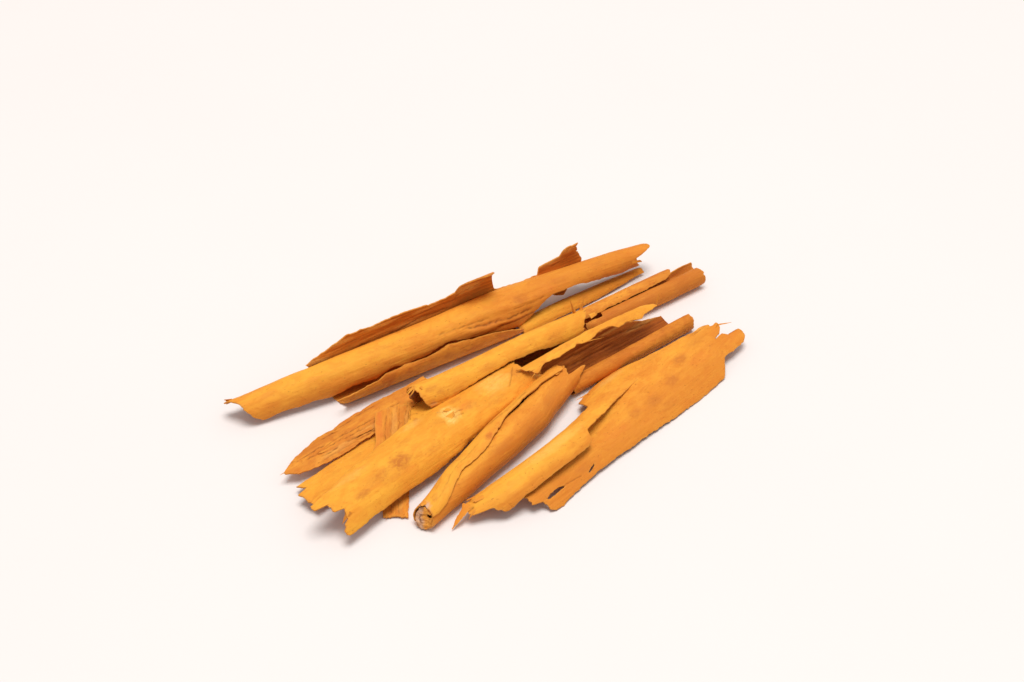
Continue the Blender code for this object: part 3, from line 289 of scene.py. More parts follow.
        back=((0, -3.0), (0.42, -3.4), (0.46, -7.0), (0.485, -6.0), (0.56, -5.3), (0.65, -4.9), (0.8, -5.1), (1, -5.2)),
        front=((0, 2.8), (0.6, 3.0), (0.9, 3.0), (0.96, 3.6), (1, 4.8)),
        rag_back=(0.15, 0.15), rag_front=(0.15, 0.2),
        right=((0, -3.0), (0.2, -2.2), (0.5, -1.2), (0.75, -0.5), (0.9, 0.4), (1, 0.5))),
    # a closed, slightly flattened roll that widens to its far end, its seam turning round it
    "tapered_roll_quill": dict(
        # painted shade on the right side, which turns from the light; painted highlight on the upper left of the roll
        painted_shade_and_browning=((38, 6.6, 34, 5.6, 0.85), (18, 5.6, 22, 3.8, 0.80), (6, 5.0, 10, 3.0, 0.50)),
        painted_highlights=((14, -9.0, 22, 5.0, 0.85), (14, 12.0, 18, 3.4, 0.60), (40, -11.0, 14, 2.5, 0.40)),
        stains_and_shade_bands=((26.2, -13.0, 1.5, 0.9, 0.9), (27.0, 13.4, 1.3, 0.9, 0.9), (4.4, -9.0, 1.6, 1.0, 0.6), (7.0, -5.4, 1.2, 0.8, 0.6), (26, 9.6, 5.0, 1.4, 0.40), (37, 8.8, 5.0, 1.6, 0.50), (47, 9.6, 5.0, 1.4, 0.45), (8, -8.2, 3.0, 1.0, 0.40), (16, -9.8, 4.0, 0.9, 0.35)),
        warms_and_side_shade=((26.4, -13.0, 1.7, 1.3, 1.0), (27.0, 13.2, 1.5, 1.2, 1.0), (48, 7.0, 6, 2.0, 0.4)),
        # the first crease is a groove whose dark colour is painted shade: the crevice under the broad front quill's
        # edge
        creases=((((24.5, -7.4), (28.9, -9.0), (30.7, -10.5), (33.4, -11.1), (35.5, -11.6), (39.1, -11.6), (42.4, -11.6), (48.0, -11.0)), 0.34, 0.60),
                 (((3, -9.8), (10, -10.8), (18, -11.6), (24, -12.0)), 0.18, 0.28), (((7, -8.6), (15, -9.4), (24, -10.2), (30, -10.6)), 0.10, 0.26),
                 (((14, 9.4), (24, 11.2), (32, 12.0)), 0.10, 0.28), (((30, 9.2), (42, 9.8), (52, 10.2)), 0.08, 0.26), (((44, -10.2), (50, -10.8), (54, -10.9)), 0.12, 0.24)),
        ashes=((1.0, -8.2, 1.6, 1.6, 0.9), (0.4, 1.6, 1.0, 1.6, 0.8)),
        flakes=(dict(s=2.4, w=-7.6, long=-1.9, wide=1.7, lift=-0.5, rise=-0.15, curl=0.1, seed=1, look=(1.0, 1.0, 0.0)),
                dict(s=54.0, w=-10.5, long=3.4, wide=1.5, lift=0.4, rise=0.1, seed=4, look=(1.0, 0.8, 0.0)),
                dict(s=56.2, w=8.4, long=3.2, wide=0.8, lift=0.2, rise=0.1, seed=5, look=(1.0, 0.7, 0.0)),
                dict(s=55.2, w=-11.6, long=2.6, wide=1.0, lift=0.7, rise=0.1, seed=6, look=(1.0, 0.9, 0.0))),
        outer_up=False, slot="russet_bark", plug=(-0.45, 2.50, 2.42, 2.72), left=((0, 0.0), (0.10, -0.8), (0.22, -1.0), (0.4, 0.4), (0.6, 0.8), (0.8, 0.1), (1, -0.8)), seed=84, at=(-43.0, -27.0, 0.26), heading=13.0, pitch=0.2, length=56.5, finish="amber",
        bend=((0, oval(2.8, 2.7, 0.35)), (0.28, oval(4.1, 3.8, 0.42)), (0.6, oval(5.0, 4.1, 0.45)), (0.75, oval(5.1, 4.0, 0.45)), (0.88, oval(4.6, 3.8, 0.45)), (1, oval(4.0, 3.5, 0.45))),
        shift_y=((0, 0.0), (0.7, 0.0), (0.9, 0.9), (1, 1.2)),
        back=((0, -11.5), (0.1, -12.3), (0.166, -12.6), (0.358, -13.7), (0.448, -14.2), (0.57, -13.6), (0.62, -12.9), (1, -12.0)),
        front=((0, 7.5), (0.166, 9.6), (0.358, 13.2), (0.45, 13.9), (0.57, 15.6), (1, 15.0)),
        right=((0, 1.5), (0.09, 2.4), (0.3, 1.0), (0.5, 0.0), (0.6, 0.6), (0.66, 2.7), (0.70, 5.0), (0.73, 8.0), (0.75, 6.5),
               (0.758, 4.0), (0.768, 1.6), (0.80, 2.4), (0.878, 3.6), (0.93, 3.0), (1, 2.0)),
        rag_back=(0.2, 0.2)),
    # a broad sheet lying in front, torn open from its near end: the back part of the
    # tear stands up in a lobe over the front part, and they join at its tip
    "torn_broad_quill": dict(
        # painted shade on the front part, which faces the camera, and at the far end; painted highlight on the lobe and
        # the crown
        painted_shade_and_browning=((26, 10.6, 46, 6.0, 0.75), (72, 10.0, 30, 7.5, 0.60), (92, 3.0, 12, 9.0, 0.40), (20, 5.4, 22, 2.0, 0.45), (62, -9.0, 9, 2.4, 0.35)),
        painted_highlights=((20, 0.0, 26, 4.6, 0.90), (44, 0.0, 10, 4.0, 0.60), (60, -6.0, 12, 3.0, 0.45), (84, -0.5, 12, 2.6, 0.35)),
        stains_and_shade_bands=((76.3, 2.2, 2.6, 1.8, 0.75), (68.8, 5.4, 2.4, 1.7, 0.75), (60.1, 6.4, 3.0, 1.8, 0.70), (53.2, 6.0, 2.2, 1.4, 0.60), (63, 9.6, 3.4, 1.4, 0.40),
                (31, 8.4, 4.0, 1.2, 0.40), (84, 1.0, 4.0, 1.6, 0.35), (2.0, 0.4, 2.2, 2.0, 0.50), (12, -2.0, 4.0, 1.2, 0.25), (24, 2.6, 3.4, 1.2, 0.25), (72, -4.0, 3.5, 1.6, 0.35)),
        warms_and_side_shade=((45, 6.6, 5.0, 1.8, 0.45), (80, 5.4, 5.0, 2.0, 0.40), (93, 5.6, 3.0, 2.4, 0.35)),
        pales=((28, 0.0, 12, 1.8, 0.35), (60, -7.6, 6, 1.6, 0.35), (91, -2.0, 4, 1.6, 0.3), (2.5, -3.0, 2.4, 1.4, 0.35)),
        splits=((((17.6, 8.7), (20.6, 8.5), (23.6, 8.7)), 0.85), (((31.4, 9.9), (34.2, 9.2)), 0.42), (((98.6, 2.9), (93.0, 3.3), (89.0, 3.7)), 0.50)),
        creases=((((23.6, 8.7), (26.9, 9.1), (29.5, 9.5)), 0.14, 0.24), (((88.5, 3.7), (84, 4.1), (80, 4.0)), 0.10, 0.22), (((16, 10.2), (24, 10.4)), 0.08, 0.25),
                 (((4.2, -3.0), (4.9, -2.2), (4.6, -1.2), (5.4, -0.4)), 0.22, 0.40), (((4.2, -1.4), (4.9, 0.0), (6.4, 1.0)), 0.20, 0.36),
                 (((3.6, 1.3), (1.6, 1.3)), 0.22, 0.34), (((5, 4.8), (14, 4.9), (24, 4.6)), 0.06, 0.3),
                 (((92, -0.4), (87, -0.6)), 0.10, 0.22), (((56, -8.0), (60, -8.8)), 0.08, 0.25)),
        splinters=(dict(s=2.6, w=0.1, reach=(-5.3, -0.4, -2.5), wide=2.5, thick=0.40, bow=0.2, seed=1, look=(1.0, 0.3, 0.0)),
                   dict(s=3.2, w=2.0, reach=(-2.3, -0.2, -1.2), wide=1.0, thick=0.25, bow=0.2, seed=2),
                   
                   dict(s=91.8, w=0.0, reach=(5.2, -3.1, 0.2), wide=1.1, thick=0.25, bow=0.15, seed=4),
                   dict(s=53.6, w=-9.8, reach=(-3.8, 1.2, -0.6), wide=0.9, thick=0.25, bow=0.1, seed=6)),
        flakes=(dict(s=7.0, w=-2.0, long=-2.8, wide=1.5, lift=0.4, rise=0.1, seed=5), dict(s=7.4, w=0.4, long=-2.8, wide=1.4, lift=0.45, rise=0.12, seed=7),
                dict(s=91.0, w=0.8, long=3.2, wide=1.3, lift=0.4, rise=0.1, seed=10), dict(s=54.5, w=-8.8, long=-2.6, wide=1.3, lift=0.3, rise=0.1, seed=11)),
        seed=91, at=(-36.0, -34.6, 4.4), heading=7.5, length=95.0, finish="amber",
        roll=((0, 3.0), (0.3, 2.0), (0.75, -2.0), (1, -2.0)),
        bend=((0, ((-12, -1 / 9.0), (-2, -1 / 18.0), (0, -0.01), (1.5, -1 / 17.0), (14, -1 / 17.0))),),
        panels=(
            dict(span=(0.0, 1.0), tip=0.66, free_front=((0, 1), (0.6, 1), (0.64, 0), (1, 0)),
                 bend=((0, ((0, -1 / 4.6),)), (0.36, ((0, -1 / 4.8),)),
                       (0.48, ((-12, -1 / 16.0), (-2, -1 / 14.0), (0, -0.08), (4, -0.1))),
                       (0.66, ((-12, -1 / 12.0), (-2, -1 / 18.0), (0, -0.01)))),
                 roll=((0, -15.0), (0.4, -10.0), (0.66, -1.6), (0.75, -2.0), (1, -2.0)),
                 back=((0, -4.6), (0.3, -4.3), (0.47, -4.0), (0.49, -4.6), (0.505, -8.0), (0.515, -10.2), (0.55, -10.6), (0.6, -11.0),
                       (0.66, -11.0), (0.674, -10.6), (0.708, -8.3), (0.746, -6.2), (0.825, -4.0), (0.904, -2.6), (0.945, -2.0), (1, -1.9)),
                 front=((0, 6.6), (0.09, 6.7), (0.105, 6.6), (0.14, 6.0), (0.203, 5.7), (0.263, 5.4), (0.304, 5.5), (0.348, 5.6),
                        (0.37, 5.5), (0.386, 4.9), (0.393, 3.4), (0.4, 2.0), (0.44, 1.4), (0.487, 1.0), (0.557, 0.0),
                        (0.604, -0.4), (0.66, -1.0), (1, -1.0)),
                 rag_back=(0.12, 0.18), rag_front=(0.08, 0.14),
                 shift_z=((0, -2.2), (0.04, -0.9), (0.08, 0.7), (0.16, 2.7), (0.32, 3.1), (0.42, 2.7), (0.66, 0.0)),
                 shift_y=((0, 4.0), (0.04, 3.0), (0.08, 1.5), (0.16, -0.5), (0.32, -1.4), (0.42, -1.4), (0.66, 0.0)),
                 left=((0, -9.5), (0.10, -8.0), (0.2, -5.6), (0.28, -4.2), (0.38, -2.6), (0.45, -2.2), (0.58, -1.4), (0.66, -1.9), (0.70, -3.1), (0.73, -4.0), (0.76, -5.5), (0.81, -6.4), (0.93, -7.3), (1, -8.3)),
                 right=((0, -4.5), (0.5, -3.4), (1, -2.7))),
            dict(span=(0.16, 1.0), free_back=((0, 1), (0.6, 1), (0.64, 0), (1, 0)),
                 back=((0.16, 3.0), (0.34, 2.0), (0.42, 0.5), (0.48, -1.5), (0.55, -2.6), (0.61, -2.2), (0.66, -1.0), (1, -1.0)),
                 front=((0, 12.0), (0.187, 12.0), (0.228, 11.6), (0.273, 11.5), (0.323, 11.2), (0.38, 11.2), (0.44, 11.4),
                        (0.516, 11.8), (0.588, 12.4), (0.667, 12.9), (0.749, 13.4), (0.803, 13.3), (0.86, 13.0),
                        (0.885, 11.0), (0.907, 9.0), (0.961, 9.2), (1, 9.0)),
                 rag_front=(0.10, 0.22),
                 left=((0, 1.5), (0.24, 1.6), (0.5, 1.6), (0.56, 0.5), (0.62, -1.1), (0.87, -1.4), (1, -2.6)),
                 right=((0, -2.7), (0.12, -2.5), (0.2, -1.0), (0.3, -1.8), (0.41, -3.4), (0.5, -2.9), (0.6, -1.9), (0.64, 1.7),
                        (0.78, 2.0), (0.9, 1.2), (1, -0.4))),
        )),
}


# ---------------------------------------------------------------- tables and noise
def smooth_table(table, t):
    """Smooth interpolation of ((t, value), ...) that never overshoots its values."""
    t = np.asarray(t, float)
    if not isinstance(table, tuple):
        return np.full_like(t, float(table))
    x = np.array([a for a, _ in table], float)
    y = np.array([b for _, b in table], float)
    h, slope = np.diff(x), np.diff(y) / np.diff(x)
    m = np.zeros_like(x)
    m[0], m[-1] = slope[0], slope[-1]
    for i in range(1, len(x) - 1):
        if slope[i - 1] * slope[i] > 0:
            m[i] = 2 * slope[i - 1] * slope[i] / (slope[i - 1] + slope[i])
    t = np.clip(t, x[0], x[-1])
    i = np.clip(np.searchsorted(x, t, side="right") - 1, 0, len(x) - 2)
    f = (t - x[i]) / h[i]
    return ((2 * f**3 - 3 * f**2 + 1) * y[i] + (f**3 - 2 * f**2 + f) * h[i] * m[i]
            + (3 * f**2 - 2 * f**3) * y[i + 1] + (f**3 - f**2) * h[i] * m[i + 1])


def straight_table(table, t):
    t = np.asarray(t, float)
    if not isinstance(table, tuple):
        return np.full_like(t, float(table))
    return np.interp(t, [a for a, _ in table], [b for _, b in table])


def ease(a, b, x):
    f = np.clip((x - a) / (b - a), 0, 1)
    return f * f * (3 - 2 * f)


def random_at(i, j, seed):
    """A repeatable number from 0 to 1 for each lattice point."""
    i = np.asarray(i).astype(np.int64).astype(np.uint32)
    j = np.asarray(j).astype(np.int64).astype(np.uint32)
    n = i * np.uint32(374761393) + j * np.uint32(668265263) + np.uint32((seed * 2654435761) % 4294967296)
    n = (n ^ (n >> np.uint32(13))) * np.uint32(1274126177)
    n = (n ^ (n >> np.uint32(15))) * np.uint32(2246822519)
    n = n ^ (n >> np.uint32(16))
    return n.astype(float) / 4294967295.0


def noise(x, y, seed):
    """Smooth gradient noise, about -1 to 1."""
    x, y = np.broadcast_arrays(np.asarray(x, float), np.asarray(y, float))
    xi, yi = np.floor(x), np.floor(y)
    fx, fy = x - xi, y - yi
    u, v = fx**3 * (fx * (fx * 6 - 15) + 10), fy**3 * (fy * (fy * 6 - 15) + 10)

    def corner(dx, dy):
        angle = random_at(xi + dx, yi + dy, seed) * 2 * math.pi
        return np.cos(angle) * (fx - dx) + np.sin(angle) * (fy - dy)

    low = corner(0, 0) * (1 - u) + corner(1, 0) * u
    high = corner(0, 1) * (1 - u) + corner(1, 1) * u
    return (low * (1 - v) + high * v) * 1.5


def fractal(x, y, seed, octaves=3, gain=0.5):
    total, size, norm = 0.0, 1.0, 0.0
    for k in range(octaves):
        total = total + noise(x * 2**k, y * 2**k, seed + 31 * k) * size
        norm += size
        size *= gain
    return total / norm


def teeth(x, seed):
    """Broken-off fibres: levels from -1 to 1 that jump or slope from one to the next."""
    x = np.asarray(x, float) + 0.35 * noise(np.asarray(x, float) * 0.7, 3.7, seed + 5)
    i = np.floor(x)
    f = x - i
    a, b = random_at(i, 0 * i, seed), random_at(i + 1, 0 * i, seed)
    sharp = 1.0 + 5.0 * random_at(i, 0 * i + 7, seed) ** 2
    f = np.clip((f - 0.5) * sharp + 0.5, 0, 1)
    return 2 * (a * (1 - f) + b * f) - 1


def ragged(x, seed, wave, tooth):
    """A torn outline: slow waves and short teeth, in mm, for places x in mm."""
    return (wave * fractal(x / 7.0, 0.3, seed, 3)
            + tooth * (0.6 * teeth(x / 0.9, seed + 1) + 0.4 * teeth(x / 2.3, seed + 2)))


# ---------------------------------------------------------------- the rolled sheet
def curvature(bend, t, w):
    rows = [np.interp(w, [q[0] for q in knots], [q[1] for q in knots]) for _, knots in bend]
    if len(rows) == 1:
        return rows[0]
    stations = [a for a, _ in bend]
    t = min(max(t, stations[0]), stations[-1])
    i = max(0, min(int(np.searchsorted(stations, t, side="right")) - 1, len(rows) - 2))
    f = ease(stations[i], stations[i + 1], t)
    return rows[i] * (1 - f) + rows[i + 1] * f


def cross_section(bend, t, w, steps=240):
    """The rolled section: y and z at the places w, with w = 0 at the origin and level."""
    grid = np.linspace(min(w.min(), 0.0) - 1e-6, max(w.max(), 0.0) + 1e-6, steps)
    k, step = curvature(bend, t, grid), grid[1] - grid[0]
    angle = np.concatenate([[0], np.cumsum((k[1:] + k[:-1]) / 2 * step)])
    angle -= np.interp(0.0, grid, angle)
    c, s = np.cos(angle), np.sin(angle)
    y = np.concatenate([[0], np.cumsum((c[1:] + c[:-1]) / 2 * step)])
    z = np.concatenate([[0], np.cumsum((s[1:] + s[:-1]) / 2 * step)])
    y, z = y - np.interp(0.0, grid, y), z - np.interp(0.0, grid, z)
    return -np.interp(w, grid, y), np.interp(w, grid, z)


def lay_out(stick, panel):
    """The panel's torn outline on the flat sheet: its stations, and s and w of every grid point."""
    own = {**stick, **panel}
    length, (start, stop) = stick["length"], own.get("span", (0.0, 1.0))
    t = np.linspace(0, 1, round(length / own.get("step_s", STEP_S)) + 1)
    t = np.concatenate([[start], t[(t > start + 1e-4) & (t < stop - 1e-4)], [stop]])
    back, front = straight_table(own["back"], t), straight_table(own["front"], t)
    columns = max(6, round((front - back).max() / own.get("step_w", STEP_W)))
    v = np.linspace(0, 1, columns + 1)
    seed, side, s0 = stick["seed"], own.get("number", 0) * 57, length * t
    room = ease(0.0, 2.5, front - back)
    back = back + (ragged(s0, seed + side + 11, *own.get("rag_back", (0.35, 0.22)))
                   * straight_table(own.get("free_back", 1.0), t) * room)
    front = front + (ragged(s0, seed + side + 12, *own.get("rag_front", (0.35, 0.22)))
                     * straight_table(own.get("free_front", 1.0), t) * room)
    w = back[:, None] + (front - back)[:, None] * v[None, :]
    s = (s0[:, None] - straight_table(own.get("left", 0.0), v)[None, :] * (1 - ease(start, start + 0.12, t))[:, None]
         + straight_table(own.get("right", 0.0), v)[None, :] * ease(stop - 0.12, stop, t)[:, None])
    reach = own.get("end_reach", 4.0) / length
    left = ragged(w[0] * 1.3, seed + 13, *own.get("rag_left", (0.25, 0.4)))
    right = ragged(w[-1] * 1.3, seed + 14, *own.get("rag_right", (0.25, 0.4)))
    s = (s - left[None, :] * (1 - ease(start, start + reach, t))[:, None]
         + right[None, :] * ease(stop - reach, stop, t)[:, None])
    return t, s, w


def place(stick, panel, t, s, w):
    """Rolls the flat grid up: its points in the stick's own axes."""
    own = {**stick, **panel}
    y, z = np.empty_like(s), np.empty_like(s)
    for k, station in enumerate(t):
        a, b = cross_section(own["bend"], station, w[k])
        if "tip" in own:
            f = float(ease(own["tip"] - 0.2, own["tip"], station))
            a0, b0 = cross_section(stick["bend"], station, w[k])
            a, b = a * (1 - f) + a0 * f, b * (1 - f) + b0 * f
        turn = math.radians(float(smooth_table(own.get("roll", 0.0), station)))
        y[k] = a * math.cos(turn) - b * math.sin(turn)
        z[k] = a * math.sin(turn) + b * math.cos(turn)
    along = s / stick["length"]
    y = y + smooth_table(own.get("shift_y", 0.0), along)
    z = z + smooth_table(own.get("arch", 0.0), along) + smooth_table(own.get("shift_z", 0.0), along)
    return np.stack([s, y, z], -1)


def near_line(s, w, line, seed=0, wander=0.0):
    """Distance across the line ((s, w), (s, w), ...) and the share along it, for every point."""
    best = np.full(s.shape, 1e9)
    share = np.zeros(s.shape)
    if wander:
        w = w + wander * (fractal(s / 2.2, 5.5, seed, 2) + 0.5 * teeth(s / 0.8, seed + 3))
    total = sum(math.dist(p, q) for p, q in zip(line, line[1:]))
    done = 0.0
    for p, q in zip(line, line[1:]):
        size = math.dist(p, q)
        f = np.clip(((s - p[0]) * (q[0] - p[0]) + (w - p[1]) * (q[1] - p[1])) / size**2, 0, 1)
        d = np.hypot(s - p[0] - f * (q[0] - p[0]), w - p[1] - f * (q[1] - p[1]))
        nearer = d < best
        best = np.where(nearer, d, best)
        share = np.where(nearer, (done + f * size) / total, share)
        done += size
    return best, share


def blob(s, w, spot, seed):
    """1 inside the spot (s, w, half length, half width), falling to 0 with an uneven border."""
    s0, w0, long, wide = spot[:4]
    d = np.hypot((s - s0) / long, (w - w0) / wide)
    d = d + 0.5 * fractal(s / long * 1.9, w / wide * 1.9, seed, 4, 0.62)
    return 1 - ease(0.35, 1.2, d)


def flat_sheet(stick):
    """The sheet before it gets its two skins: points, (s, w) of each, and four-sided cells."""
    points, coords, cells, count = [], [], [], 0
    for number, panel in enumerate(stick.get("panels", ({},))):
        panel = {**panel, "number": number}
        t, s, w = lay_out(stick, panel)
        keep = np.ones((s.shape[0] - 1, s.shape[1] - 1), bool)
        for k, (line, width) in enumerate(stick.get("splits", ())):
            # cells inside the split are left out, and the points beside it move onto its outline
            def outside(a, b, line=line, width=width, k=k):
                d, f = near_line(a, b, line, stick["seed"] + 70 + k, 0.16)
                return d - width / 2 * np.sqrt(np.clip(4 * f * (1 - f), 0.0, 1)) - 0.02
            keep &= outside((s[1:, 1:] + s[:-1, 1:] + s[1:, :-1] + s[:-1, :-1]) / 4,
                            (w[1:, 1:] + w[:-1, 1:] + w[1:, :-1] + w[:-1, :-1]) / 4) > 0
            value, e = outside(s, w), 0.03
            gs, gw = (outside(s + e, w) - value) / e, (outside(s, w + e) - value) / e
            size = np.maximum(gs**2 + gw**2, 0.25)
            near = np.abs(value) < 0.26
            s = np.where(near, s - np.clip(value * gs / size, -0.16, 0.16), s)
            w = np.where(near, w - np.clip(value * gw / size, -0.10, 0.10), w)
        index = count + np.arange(s.size).reshape(s.shape)
        cells.append(np.stack([index[:-1, :-1], index[1:, :-1], index[1:, 1:], index[:-1, 1:]], -1)[keep])
        points.append(place(stick, panel, t, s, w).reshape(-1, 3))
        coords.append(np.stack([s, w], -1).reshape(-1, 2))
        count += s.size
    points, coords, cells = np.concatenate(points), np.concatenate(coords), np.concatenate(cells)
    if len(stick.get("panels", ())) > 1:
        cells = weld(points, cells)
    return points, coords, cells


def weld(p, quads, close=0.03):
    """One index for points that fall together, where two panels of a sheet share an edge."""
    cells = np.floor(p / close + 0.1234).astype(np.int64)
    _, first, inverse = np.unique(cells, axis=0, return_index=True, return_inverse=True)
    inverse = inverse.reshape(-1)
    quads = first[inverse][quads]
    good = np.array([len(set(q)) == 4 for q in quads.tolist()])
    return quads[good]


def vertex_normals(p, quads):
    normal = np.cross(p[quads[:, 2]] - p[quads[:, 0]], p[quads[:, 3]] - p[quads[:, 1]])
    total = np.zeros_like(p)
    for k in range(4):
        np.add.at(total, quads[:, k], normal)
    return total / np.maximum(np.linalg.norm(total, axis=1), 1e-12)[:, None]


def rim_edges(quads):
    """The directed edges that only one cell has: the sheet's outline."""
    edges = np.concatenate([quads[:, [0, 1]], quads[:, [1, 2]], quads[:, [2, 3]], quads[:, [3, 0]]])
    key = np.sort(edges, 1)
    order = np.lexsort((key[:, 1], key[:, 0]))
    key = key[order]
    same = np.all(key[1:] == key[:-1], 1)
    single = np.ones(len(key), bool)
    single[1:] &= ~same
    single[:-1] &= ~same
    return edges[order[single]]


def spread(value, quads, keep, rounds):
    """Lets a value on the points fade into their neighbours."""
    for _ in range(rounds):
        highest = value[quads].max(1) * keep
        grown = value.copy()
        for k in range(4):
            np.maximum.at(grown, quads[:, k], highest)
        value = grown
    return value


# ---------------------------------------------------------------- skins
def skins(stick):
    """The closed bark sheet: points, faces, and for each point its grain, look, marks, and painted shade, painted
    highlight and ash.
    """
    p, c, quads = flat_sheet(stick)
    s, w, seed = c[:, 0], c[:, 1], stick["seed"]
    used = np.unique(quads)
    up = -vertex_normals(p, quads)
    outline = rim_edges(quads)
    rim = np.zeros(len(p))
    rim[outline.reshape(-1)] = 1.0
    rim = spread(rim, quads, 0.62, 3)
    wavy = stick.get("wavy", 1.0)
    swell = wavy * (0.16 * fractal(s / 21.0, w / 6.0, seed + 21, 3) + 0.05 * fractal(s / 6.0, w / 1.9, seed + 22, 2))
    outer = (0.030 * fractal(s / 8.0, w / 0.75, seed + 23, 2) + 0.016 * noise(s / 2.2, w / 0.42, seed + 24)
             + 0.035 * fractal(s / 3.1, w / 2.2, seed + 25, 3))
    inner = (0.060 * fractal(s / 15.0, w / 0.95, seed + 26, 3) + 0.02 * noise(s / 3.0, w / 0.42, seed + 27))
    fibre = stick.get("fibre", 0.0)       # a coarse, stringy skin
    if fibre:
        outer = outer + fibre * (0.11 * fractal(s / 7.0, w / 0.62, seed + 28, 2)
                                 - 0.10 * np.clip(noise(s / 5.0, w / 0.5, seed + 29) - 0.25, 0, 1))
    if stick.get("outer_up", True):
        skin_up, skin_down = outer, inner
    else:
        skin_up, skin_down = inner, outer
    crack_and_shade_line, stain_and_shade, pale, warm_and_side_shade, shade_and_browning, painted_highlight, ash = (np.zeros(len(p)) for _ in range(7))
    for k, (line, depth, width) in enumerate(stick.get("creases", ())):
        d, f = near_line(s, w, line, seed + 90 + k, 0.22)
        fade = ease(0, 0.12, f) * ease(0, 0.12, 1 - f)
        skin_up = skin_up - depth * np.exp(-((d / width) ** 2)) * fade
        if depth > 0.1:
            # the dark colour of deep creases: real cracks, and on some creases painted shade along an edge
            broken = 0.35 + 0.65 * ease(-0.35, 0.25, fractal(s / 1.6, w / 3.0, seed + 95 + k, 2))
            crack_and_shade_line = np.maximum(crack_and_shade_line, min(1.0, depth / 0.2) * np.exp(-((d / (0.55 * width)) ** 2)) * fade * broken)
    for k, (line, lift, width) in enumerate(stick.get("folds", ())):
        d, f = near_line(s, w, line)
        swell = swell + lift * np.exp(-((d / width) ** 2)) * ease(0, 0.25, f) * ease(0, 0.25, 1 - f)
    for k, (*spot, lift) in enumerate(stick.get("layers", ())):
        inside = blob(s, w, spot, seed + 120 + k)
        skin_up = skin_up + lift * ease(0.42, 0.58, inside)
        if lift < 0:
            pale = np.maximum(pale, 0.55 * ease(0.42, 0.58, inside))
    for k, (*spot, strength) in enumerate(stick.get("stains_and_shade_bands", ())):
        stain_and_shade = np.maximum(stain_and_shade, strength * blob(s, w, spot, seed + 150 + k))
    for k, (*spot, strength) in enumerate(stick.get("pales", ())):
        pale = np.maximum(pale, strength * blob(s, w, spot, seed + 180 + k))
    for k, (*spot, strength) in enumerate(stick.get("warms_and_side_shade", ())):
        warm_and_side_shade = np.maximum(warm_and_side_shade, strength * blob(s, w, spot, seed + 210 + k))
    # painted shade: darker spots where a side turns from the light or lies under an edge, on some sticks also a browner
    # tone
    for k, (*spot, strength) in enumerate(stick.get("painted_shade_and_browning", ())):
        shade_and_browning = np.maximum(shade_and_browning, strength * blob(s, w, spot, seed + 240 + k))
    # painted highlight: lighter spots where a crown or top faces the light
    for k, (*spot, strength) in enumerate(stick.get("painted_highlights", ())):
        painted_highlight = np.maximum(painted_highlight, strength * blob(s, w, spot, seed + 270 + k))
    for k, (*spot, strength) in enumerate(stick.get("ashes", ())):
        ash = np.maximum(ash, strength * blob(s, w, spot, seed + 300 + k))
    half = stick.get("thick", THICK) / 2 * (1 - 0.42 * rim)
    top = p + up * (swell + half + skin_up)[:, None]
    low = p + up * (swell - half - skin_down)[:, None]
    if stick.get("floor") is not None:    # nothing sinks into the table
        top[:, 2], low[:, 2] = np.maximum(top[:, 2], stick["floor"] + 0.02), np.maximum(low[:, 2], stick["floor"])
    new = np.full(len(p), -1)
    new[used] = np.arange(len(used))
    n = len(used)
    q, a, b = new[quads], new[outline[:, 0]], new[outline[:, 1]]
    faces = np.concatenate([q[:, ::-1], q + n, np.stack([b + n, a + n, a, b], -1)])
    outer_top = 1.0 if stick.get("outer_up", True) else 0.0
    grain = np.stack([s, w, np.full(len(p), seed * 3.7)], -1)[used]
    look = [np.stack([np.full(n, side), rim[used], warm_and_side_shade[used]], -1) for side in (outer_top, 1 - outer_top)]
    seen = np.stack([stain_and_shade, pale, crack_and_shade_line], -1)[used]
    hidden = np.stack([stain_and_shade, 0.3 * pale, 0.5 * crack_and_shade_line], -1)[used]
    # per point: painted shade, painted highlight and the ash colour of crumbled layers
    shade_highlight_and_ash = np.stack([shade_and_browning, painted_highlight, ash], -1)[used]
    return dict(points=np.concatenate([top[used], low[used]]), faces=faces,
                grain=np.concatenate([grain, grain]), look=np.concatenate(look), marks=np.concatenate([seen, hidden]),
                shade_highlight_and_ash=np.concatenate([shade_highlight_and_ash, shade_highlight_and_ash]))


